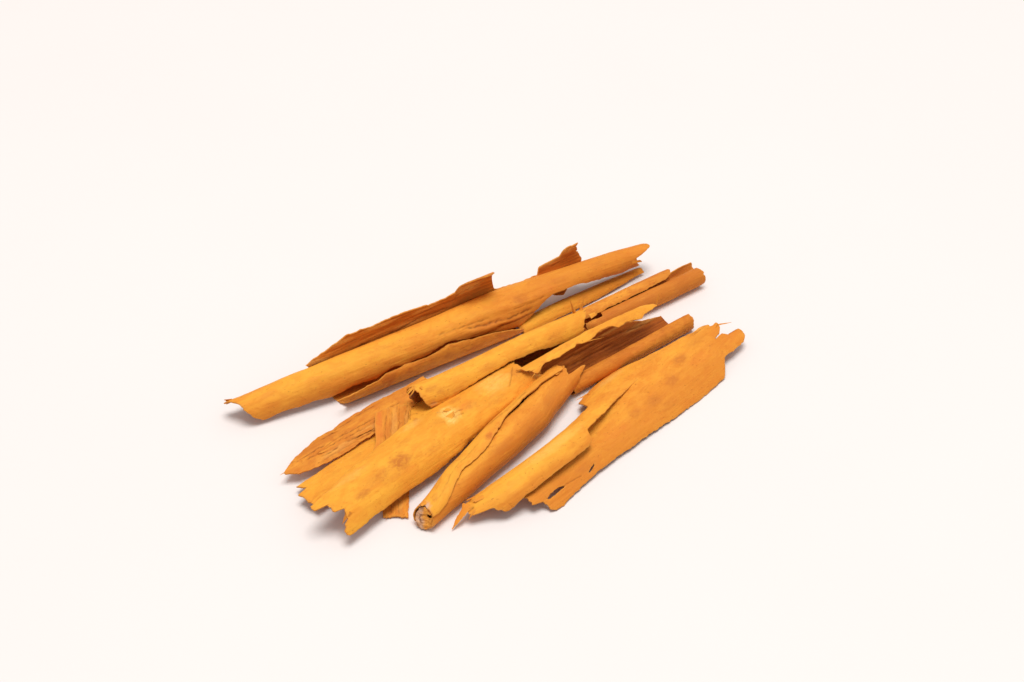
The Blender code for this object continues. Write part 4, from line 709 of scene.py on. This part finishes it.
def sliver(path, wide, thick, seed, look=(1.0, 0.8, 0.0)):
    """A tapered splinter of bark along a path of points."""
    path = np.asarray(path, float)
    rings, sides = len(path), 6
    along = np.gradient(path, axis=0)
    along /= np.linalg.norm(along, axis=1)[:, None]
    side = np.cross(along, [0.0, 0.0, 1.0])
    side /= np.maximum(np.linalg.norm(side, axis=1), 1e-6)[:, None]
    up = np.cross(side, along)
    f = np.linspace(0, 1, rings)
    size = np.clip(1 - f, 0.06, 1) ** 0.8 * (1 + 0.25 * noise(f * 7, 0.5, seed))
    angle = np.linspace(0, 2 * math.pi, sides, endpoint=False)
    p = (path[:, None] + (np.cos(angle)[None, :, None] * side[:, None] * wide / 2
                          + np.sin(angle)[None, :, None] * up[:, None] * thick / 2) * size[:, None, None])
    index = np.arange(rings * sides).reshape(rings, sides)
    nxt = np.roll(index, -1, 1)
    faces = np.stack([index[:-1], nxt[:-1], nxt[1:], index[1:]], -1).reshape(-1, 4)
    ends = np.array([[index[0, 0], index[0, 5], index[0, 4], index[0, 3]], [index[0, 0], index[0, 3], index[0, 2], index[0, 1]],
                     [index[-1, 0], index[-1, 1], index[-1, 2], index[-1, 3]], [index[-1, 0], index[-1, 3], index[-1, 4], index[-1, 5]]])
    size_along = np.concatenate([[0], np.cumsum(np.linalg.norm(np.diff(path, axis=0), axis=1))])
    grain = np.stack([np.repeat(size_along, sides), np.tile(angle * wide / 3, rings), np.full(rings * sides, seed * 3.7)], -1)
    return dict(points=p.reshape(-1, 3), faces=np.concatenate([faces, ends]), grain=grain,
                look=np.tile(look, (rings * sides, 1)), marks=np.zeros((rings * sides, 3)), shade_highlight_and_ash=np.zeros((rings * sides, 3)))


def surface(stick, s, w, panel=0):
    """Points of the sheet's middle surface at places s, w (grids of the same shape, s along the rows)."""
    own = {**stick.get("panels", ({},))[panel], "number": panel}
    t = np.clip(s.mean(1) / stick["length"], 0, 1)
    return place(stick, own, t, s, w)


def splinter(stick, s, w, reach, wide=0.5, thick=0.25, bow=0.3, panel=0, seed=0, look=(1.0, 0.8, 0.0)):
    """A splinter that leaves the sheet at (s, w) and ends at that place plus reach, in the stick's own axes."""
    start = surface(stick, np.array([[s]]), np.array([[w]]), panel)[0, 0]
    reach = np.array(reach, float)
    f = np.linspace(0, 1, 14)[:, None]
    size = np.linalg.norm(reach)
    path = start - 0.12 * reach + 1.12 * reach * f
    path[:, 2] += bow * np.sin(f[:, 0] * math.pi)
    path[:, 1] += 0.04 * size * noise(f[:, 0] * 2.3, 1.5, seed + 3)
    path[:, 2] += 0.03 * size * noise(f[:, 0] * 2.7, 2.5, seed + 4)
    return sliver(path, wide, thick, stick["seed"] + seed, look)


def flake(stick, s, w, long, wide, lift, rise=0.3, turn=0.0, curl=0.0, thick=0.14, panel=0, seed=0, look=(1.0, 0.7, 0.0)):
    """A thin scale of bark on the sheet, hinged at (s, w), long along the grain (minus to the -X end), its far end lifted."""
    rows, columns = max(8, round(abs(long) / 0.3)), max(5, round(wide / 0.22))
    f, v = np.linspace(0, 1, rows + 1)[:, None], np.linspace(-0.5, 0.5, columns + 1)[None, :]
    width = wide * (1 - 0.35 * f + 0.16 * fractal(f * 3, 0.5, seed + 1, 2))
    ss = s + long * f * (1 + 0.22 * teeth(v * wide * 1.7 + 9.5, seed + 2)) + 0 * v
    ww = w + v * width + turn * f + 0.15 * fractal(f * 4, 0.7, seed + 5, 2)
    own = {**stick.get("panels", ({},))[panel], "number": panel}
    t = np.clip((s + long * f[:, 0]) / stick["length"], 0, 1)
    p = place(stick, own, t, ss, ww)
    index = np.arange(ss.size).reshape(ss.shape)
    quads = np.stack([index[:-1, :-1], index[1:, :-1], index[1:, 1:], index[:-1, 1:]], -1).reshape(-1, 4)
    flat = p.reshape(-1, 3)
    up = -vertex_normals(flat, quads)
    if long < 0:
        up = -up
    share, across = np.broadcast_to(f, ss.shape).reshape(-1), np.broadcast_to(v, ss.shape).reshape(-1)
    height = rise + lift * share**1.7 + curl * (2 * across) ** 2 + 0.06 * fractal(share * 4, across * 3, seed + 7, 2)
    outline = rim_edges(quads)
    rim = np.zeros(len(flat))
    rim[outline.reshape(-1)] = 1.0
    rim = spread(rim, quads, 0.5, 2)
    half = thick / 2 * (1 - 0.4 * rim)
    top, low = flat + up * (height + half)[:, None], flat + up * (height - half)[:, None]
    n = len(flat)
    a, b = outline[:, 0], outline[:, 1]
    faces = np.concatenate([quads[:, ::-1], quads + n, np.stack([b + n, a + n, a, b], -1)])
    if long < 0:
        faces = faces[:, ::-1]
    grain = np.stack([ss.reshape(-1), ww.reshape(-1), np.full(n, (stick["seed"] + seed) * 3.7)], -1)
    looks = np.stack([np.full(n, look[0]), np.maximum(rim, look[1] * share), np.full(n, look[2])], -1)
    return dict(points=np.concatenate([top, low]), faces=faces, grain=np.concatenate([grain] * 2),
                look=np.concatenate([looks] * 2), marks=np.zeros((2 * n, 3)), shade_highlight_and_ash=np.zeros((2 * n, 3)))


def plug(stick, s, wide, high, middle, hole=(-1.2, 0.75, 0.62)):
    """Crumbled inner layers that fill a roll's -X mouth: a disc across it with gaps at its hole and far side."""
    seed = stick["seed"] + 400
    turns, rings = 72, 16
    angle = np.linspace(0, 2 * math.pi, turns, endpoint=False)
    r = np.linspace(0.04, 1.0, rings)
    y, z = np.outer(np.cos(angle), r) * wide, np.outer(np.sin(angle), r) * high
    near = np.hypot(y, z)
    ss = (s + 0.38 * z + 0.30 * np.clip(-y, 0, 3) + 0.10 * near + 0.55 * fractal(y / 1.1, z / 0.8, seed, 3)
          + 0.22 * np.abs(noise(near * 1.9, 0.4 * y, seed + 4)))
    p = np.stack([ss, y, z + middle], -1).reshape(-1, 3)
    index = np.arange(turns * rings).reshape(turns, rings)
    nxt = np.roll(index, -1, 0)
    quads = np.stack([index[:, :-1], nxt[:, :-1], nxt[:, 1:], index[:, 1:]], -1).reshape(-1, 4)
    yc, zc = y.reshape(-1)[quads].mean(1), z.reshape(-1)[quads].mean(1)
    gap = np.hypot(yc - hole[0], (zc - hole[1]) * 1.3) + 0.3 * noise(yc * 1.7, zc * 1.7, seed + 1) < hole[2]
    gap |= (yc > 0.70 * wide) & (np.hypot(yc / wide, zc / high) > 0.88)
    quads = quads[~gap]
    used = np.unique(quads)
    new = np.full(len(p), -1)
    new[used] = np.arange(len(used))
    n, edge, q = len(used), rim_edges(quads), new[quads]
    a, b = new[edge[:, 0]], new[edge[:, 1]]
    thick = np.array([0.09, 0.0, 0.0])
    faces = np.concatenate([q[:, ::-1], q + n, np.stack([b + n, a + n, a, b], -1)])
    yy, zz = y.reshape(-1)[used], z.reshape(-1)[used]
    ash = 0.95 * ease(-0.5, 0.5, yy - 0.35 * zz + 0.5 * fractal(yy / 1.5, zz / 1.5, seed + 2, 3) - 0.1)
    crack_and_shade_line = 0.8 * ease(0.30, 0.62, noise(near.reshape(-1)[used] * 1.6, 0.5 * yy, seed + 3))
    grain = np.stack([2.0 * yy, 2.0 * zz, np.full(n, seed * 3.7)], -1)
    look = np.tile((1.0, 0.4, 0.0), (n, 1))
    marks = np.stack([0.3 * (1 - ash), 0.2 + 0 * ash, crack_and_shade_line], -1)
    shade_highlight_and_ash = np.stack([0 * ash, 0 * ash, ash], -1)
    return dict(points=np.concatenate([p[used] - thick, p[used] + thick]), faces=faces, grain=np.concatenate([grain] * 2),
                look=np.concatenate([look] * 2), marks=np.concatenate([marks] * 2), shade_highlight_and_ash=np.concatenate([shade_highlight_and_ash] * 2))


def joined(parts):
    """Several shells as one set of arrays."""
    offsets = np.cumsum([0] + [len(q["points"]) for q in parts])
    out = {key: np.concatenate([q[key] for q in parts]) for key in ("points", "grain", "look", "marks", "shade_highlight_and_ash")}
    out["faces"] = np.concatenate([q["faces"] + k for q, k in zip(parts, offsets)])
    return out


def to_object(name, data, stick, material):
    """The Blender object of a stick, at its place in the pile."""
    heading, pitch = math.radians(stick["heading"]), math.radians(stick.get("pitch", 0.0))
    x, y, z = data["points"].T
    x, z = x * math.cos(pitch) - z * math.sin(pitch), x * math.sin(pitch) + z * math.cos(pitch)
    at = stick["at"]
    p = np.stack([at[0] + CENTRE[0] + x * math.cos(heading) - y * math.sin(heading),
                  at[1] + CENTRE[1] + x * math.sin(heading) + y * math.cos(heading), at[2] + z], -1)
    p[:, 2] = np.maximum(p[:, 2], 0.0)
    faces = data["faces"]
    mesh = bpy.data.meshes.new(name)
    mesh.vertices.add(len(p))
    mesh.vertices.foreach_set("co", (p * MM).astype(np.float32).reshape(-1))
    mesh.loops.add(faces.size)
    mesh.loops.foreach_set("vertex_index", faces.astype(np.int32).reshape(-1))
    mesh.polygons.add(len(faces))
    mesh.polygons.foreach_set("loop_start", np.arange(0, faces.size, 4, dtype=np.int32))
    mesh.update(calc_edges=True)
    for key in ("grain", "look", "marks", "shade_highlight_and_ash"):
        layer = mesh.attributes.new(key, "FLOAT_VECTOR", "POINT")
        layer.data.foreach_set("vector", data[key].astype(np.float32).reshape(-1))
    mesh.validate()
    mesh.shade_smooth()
    mesh.set_sharp_from_angle(angle=math.radians(55))
    mesh.materials.append(material)
    made = bpy.data.objects.new(name, mesh)
    bpy.context.scene.collection.objects.link(made)
    return made


# ---------------------------------------------------------------- bark material
class Nodes:
    """Short names for making shader nodes."""

    def __init__(self, material):
        material.use_nodes = True
        self.tree = material.node_tree
        self.shader = self.tree.nodes["Principled BSDF"]

    def put(self, kind, values=None, **settings):
        node = self.tree.nodes.new(kind)
        for key, value in settings.items():
            setattr(node, key, value)
        for key, value in (values or {}).items():
            socket = node.inputs[key]
            if isinstance(value, bpy.types.NodeSocket):
                self.tree.links.new(value, socket)
            else:
                socket.default_value = value
        return node

    def part(self, name):
        """An attribute's three numbers."""
        at = self.put("ShaderNodeAttribute", attribute_name=name)
        cut = self.put("ShaderNodeSeparateXYZ", {0: at.outputs["Vector"]})
        return cut.outputs

    def math(self, kind, a, b=0.0, clamp=False):
        return self.put("ShaderNodeMath", {0: a, 1: b}, operation=kind, use_clamp=clamp).outputs[0]

    def grain(self, long, wide, detail=3.0, rough=0.5, kink=0.0, offset=0.0):
        """Noise stretched along the grain, its patches long x wide mm."""
        at = self.put("ShaderNodeAttribute", attribute_name="grain").outputs["Vector"]
        moved = self.put("ShaderNodeVectorMath", {0: at, 1: (1 / long, 1 / wide, 1.0)}, operation="MULTIPLY").outputs[0]
        moved = self.put("ShaderNodeVectorMath", {0: moved, 1: (offset, offset * 1.7, offset * 0.3)}, operation="ADD").outputs[0]
        return self.put("ShaderNodeTexNoise", {"Vector": moved, "Scale": 1.0, "Detail": detail, "Roughness": rough,
                                               "Distortion": kink}).outputs["Fac"]

    def between(self, value, low, high, a=0.0, b=1.0, smooth=True):
        return self.put("ShaderNodeMapRange", {"Value": value, "From Min": low, "From Max": high, "To Min": a, "To Max": b},
                        interpolation_type="SMOOTHSTEP" if smooth else "LINEAR").outputs["Result"]

    def mix(self, share, a, b, kind="MIX"):
        node = self.tree.nodes.new("ShaderNodeMix")
        node.data_type, node.blend_type, node.clamp_factor = "RGBA", kind, True
        for socket, value in ((node.inputs[0], share), (node.inputs[6], a), (node.inputs[7], b)):
            if isinstance(value, bpy.types.NodeSocket):
                self.tree.links.new(value, socket)
            elif socket.type == "RGBA":
                socket.default_value = (*value, 1.0)
            else:
                socket.default_value = value
        return node.outputs[2]


def bark(name, outer, outer_warm, inner, inner_deep, blotch=1.0, streak=1.0, rough=0.62):
    """Cinnamon bark: mottled and finely streaked outside, darker and stringier inside, pale at its torn rims, with
    painted shade and painted highlights from per-point masks.
    """
    made = bpy.data.materials.new(name)
    n = Nodes(made)
    side, rim, warm_and_side_shade = n.part("look")[:3]
    stain_and_shade, pale, crack_and_shade_line = n.part("marks")[:3]
    # painted shade, painted highlight and ash colour, per point
    shade_and_browning, painted_highlight, ash = n.part("shade_highlight_and_ash")[:3]
    patches = n.between(n.grain(7.5, 3.6, 4.0, 0.58, 0.8), 0.36, 0.66)
    clouds = n.between(n.grain(4.0, 2.3, 3.0, 0.6, 0.8, 7.3), 0.40, 0.70)
    streaks = n.between(n.grain(15.0, 0.62, 4.0, 0.6, 0.15, 3.1), 0.36, 0.66)
    fibres = n.between(n.grain(5.0, 0.20, 3.0, 0.65, 0.1, 11.7), 0.30, 0.70)
    freckles = n.between(n.grain(0.75, 0.42, 2.0, 0.5, 0.4, 5.9), 0.66, 0.76)
    scuffs = n.between(n.grain(2.1, 0.55, 3.0, 0.6, 0.5, 17.0), 0.60, 0.72)

    pale_skin = tuple(min(0.94, c * k) for c, k in zip(outer, (1.05, 1.14, 1.25)))
    colour = n.mix(n.math("MULTIPLY", patches, 0.75 * blotch), outer, outer_warm)
    colour = n.mix(n.math("MULTIPLY", clouds, 0.55 * blotch), colour, outer_warm)
    bruises = n.between(n.grain(5.5, 2.6, 5.0, 0.65, 1.0, 43.0), 0.56, 0.72)
    colour = n.mix(n.math("MULTIPLY", bruises, 0.52 * blotch), colour, tuple(c * k for c, k in zip(outer_warm, (0.80, 0.70, 0.60))))
    dabs = n.between(n.grain(2.3, 1.2, 4.0, 0.62, 0.9, 53.0), 0.56, 0.68)
    colour = n.mix(n.math("MULTIPLY", dabs, 0.46 * blotch), colour, tuple(c * k for c, k in zip(outer_warm, (0.86, 0.74, 0.62))))
    glints = n.between(n.grain(3.2, 1.6, 4.0, 0.60, 0.9, 61.0), 0.56, 0.70)
    colour = n.mix(n.math("MULTIPLY", glints, 0.42 * blotch), colour, pale_skin)
    # painted highlight: a lighter golden colour where the painted highlight mask is set
    colour = n.mix(n.math("MULTIPLY", painted_highlight, n.between(clouds, 0.0, 1.0, 1.0, 0.55)), colour, (0.90, 0.430, 0.044))
    # painted shade: a darker warm brown where the painted shade mask is set, on some sticks also their browner tone
    colour = n.mix(n.math("MULTIPLY", shade_and_browning, 0.9), colour, tuple(c * k for c, k in zip(outer_warm, (0.84, 0.76, 0.80))))
    colour = n.mix(n.math("MULTIPLY", streaks, 0.10 * streak), colour, tuple(c * k for c, k in zip(outer_warm, (0.84, 0.74, 0.62))))
    colour = n.mix(n.math("MULTIPLY", n.math("SUBTRACT", 1.0, fibres), 0.17 * streak), colour, pale_skin)
    colour = n.mix(n.math("MULTIPLY", scuffs, 0.30), colour, pale_skin)
    colour = n.mix(n.math("MULTIPLY", freckles, 0.55), colour, (0.36, 0.110, 0.014))
    # orange-red warm patches; on the cross strip one of them is also painted side shade
    colour = n.mix(n.math("MULTIPLY", warm_and_side_shade, n.between(clouds, 0.0, 1.0, 0.5, 0.85)), colour, (0.74, 0.200, 0.030))

    inside = n.mix(streaks, inner, inner_deep)
    inside = n.mix(n.math("MULTIPLY", fibres, 0.45), inside, tuple(c * 0.62 for c in inner_deep))
    inside = n.mix(n.math("MULTIPLY", patches, 0.35), inside, inner)
    colour = n.mix(side, inside, colour)

    # brown stains; on the long quill's far end two of them are painted shade
    stain_and_shade_mask = n.math("MULTIPLY", stain_and_shade, n.between(n.grain(1.5, 0.9, 4.0, 0.65, 0.9, 29.0), 0.36, 0.62, 0.42, 0.95))
    colour = n.mix(stain_and_shade_mask, colour, (0.55, 0.168, 0.025))
    colour = n.mix(n.math("MULTIPLY", pale, n.between(n.grain(0.9, 0.6, 3.0, 0.6, 0.5, 67.0), 0.35, 0.60, 0.55, 1.0)), colour, (0.94, 0.57, 0.150))
    torn = n.mix(fibres, (0.78, 0.34, 0.055), (0.56, 0.20, 0.028))
    colour = n.mix(n.math("MULTIPLY", n.between(rim, 0.35, 1.0), 0.75), colour, torn)
    colour = n.mix(n.math("MULTIPLY", ash, n.between(streaks, 0.0, 1.0, 0.95, 0.6)), colour, (0.66, 0.43, 0.31))
    # dark cracks, and painted shade lines along some edges
    colour = n.mix(n.math("MULTIPLY", crack_and_shade_line, 0.80), colour, (0.17, 0.042, 0.007))
    n.tree.links.new(colour, n.shader.inputs["Base Color"])
    gloss = n.between(n.grain(3.0, 1.2, 3.0, 0.6, 0.3, 41.0), 0.3, 0.7, rough - 0.08, rough + 0.14)
    n.tree.links.new(gloss, n.shader.inputs["Roughness"])
    n.shader.inputs["Specular IOR Level"].default_value = 0.14

    height = n.math("ADD", n.math("MULTIPLY", fibres, 0.5), n.math("MULTIPLY", streaks, 0.6))
    height = n.math("ADD", height, n.math("MULTIPLY", n.grain(0.9, 0.5, 4.0, 0.6, 0.3, 23.0), 0.8))
    height = n.math("SUBTRACT", height, n.math("MULTIPLY", freckles, 0.6))
    bump = n.put("ShaderNodeBump", {"Height": height, "Strength": 0.55, "Distance": 0.00009})
    n.tree.links.new(bump.outputs["Normal"], n.shader.inputs["Normal"])
    return made


# ---------------------------------------------------------------- the pile
FINISHES = {
    "golden": bark("golden_bark", (0.88, 0.400, 0.040), (0.80, 0.285, 0.028), (0.56, 0.170, 0.016), (0.36, 0.085, 0.008)),
    "amber": bark("amber_bark", (0.84, 0.340, 0.038), (0.74, 0.235, 0.026), (0.54, 0.160, 0.016), (0.34, 0.080, 0.008)),
    "tawny": bark("tawny_bark", (0.80, 0.310, 0.036), (0.64, 0.190, 0.024), (0.80, 0.270, 0.034), (0.52, 0.135, 0.016), blotch=1.3),
    "russet": bark("russet_bark", (0.74, 0.260, 0.028), (0.56, 0.160, 0.018), (0.46, 0.118, 0.014), (0.26, 0.056, 0.008), blotch=1.3),
}

for name, stick in STICKS.items():
    shells = [skins(stick)]
    shells += [splinter(stick, **one) for one in stick.get("splinters", ())]
    shells += [flake(stick, **one) for one in stick.get("flakes", ())]
    if "plug" in stick:
        shells.append(plug(stick, *stick["plug"]))
    piece = to_object(name + "_bark", joined(shells), stick, FINISHES[stick["finish"]])
    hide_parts(name)
    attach(piece, "root")


# ---------------------------------------------------------------- table, light and camera
def towards(right, away, up):
    """A direction given as the camera sees it: to its right, away from it, and up."""
    a = math.radians(-42)
    return Vector((right * math.cos(a) - away * math.sin(a), right * math.sin(a) + away * math.cos(a), up))


def paper(name, light, dark):
    made = bpy.data.materials.new(name)
    n = Nodes(made)
    at = n.put("ShaderNodeTexCoord").outputs["Object"]
    cloudy = n.put("ShaderNodeTexNoise", {"Vector": at, "Scale": 9.0, "Detail": 3.0}).outputs["Fac"]
    fine = n.put("ShaderNodeTexNoise", {"Vector": at, "Scale": 900.0, "Detail": 3.0}).outputs["Fac"]
    n.tree.links.new(n.mix(n.between(cloudy, 0.3, 0.7), light, dark), n.shader.inputs["Base Color"])
    n.shader.inputs["Roughness"].default_value = 0.9
    n.shader.inputs["Specular IOR Level"].default_value = 0.2
    bump = n.put("ShaderNodeBump", {"Height": fine, "Strength": 0.1, "Distance": 0.0001})
    n.tree.links.new(bump.outputs["Normal"], n.shader.inputs["Normal"])
    return made


sheet = bpy.data.meshes.new("table_top")
sheet.from_pydata([(-4, -4, 0), (4, -4, 0), (4, 4, 0), (-4, 4, 0)], [], [(0, 1, 2, 3)])
sheet.materials.append(paper("table_paper", (0.83, 0.778, 0.757), (0.822, 0.770, 0.749)))
table_top = bpy.data.objects.new("table_top", sheet)
bpy.context.scene.collection.objects.link(table_top)

world = bpy.data.worlds.new("studio")
world.use_nodes = True
world.node_tree.nodes["Background"].inputs["Color"].default_value = (1.0, 0.945, 0.925, 1)
world.node_tree.nodes["Background"].inputs["Strength"].default_value = 0.52
bpy.context.scene.world = world


def softbox(name, direction, distance, size, watts, colour):
    light = bpy.data.lights.new(name, "AREA")
    light.shape, light.size, light.energy, light.color = "DISK", size, watts, colour
    made = bpy.data.objects.new(name, light)
    bpy.context.scene.collection.objects.link(made)
    made.location = direction.normalized() * distance
    made.rotation_mode = "QUATERNION"
    made.rotation_quaternion = (-direction).to_track_quat("-Z", "Y")
    return made


softbox("key_softbox", towards(0.03, -0.02, 1.0), 1.6, 1.0, 21.0, (1.0, 1.0, 0.985))

camera = bpy.data.cameras.new("camera")
camera.lens, camera.sensor_width, camera.sensor_fit = 70.0, 36.0, "HORIZONTAL"
camera.dof.use_dof = False
camera.clip_start, camera.clip_end = 0.01, 20.0
eye = bpy.data.objects.new("camera", camera)
eye.location = Vector((-0.2541, -0.2814, 0.31195))
eye.rotation_mode = "QUATERNION"
eye.rotation_quaternion = (Vector((0.01308, 0.01533, 0.0)) - eye.location).to_track_quat("-Z", "Y")
bpy.context.scene.collection.objects.link(eye)
bpy.context.scene.camera = eye
bpy.context.scene.view_settings.view_transform = "Standard"
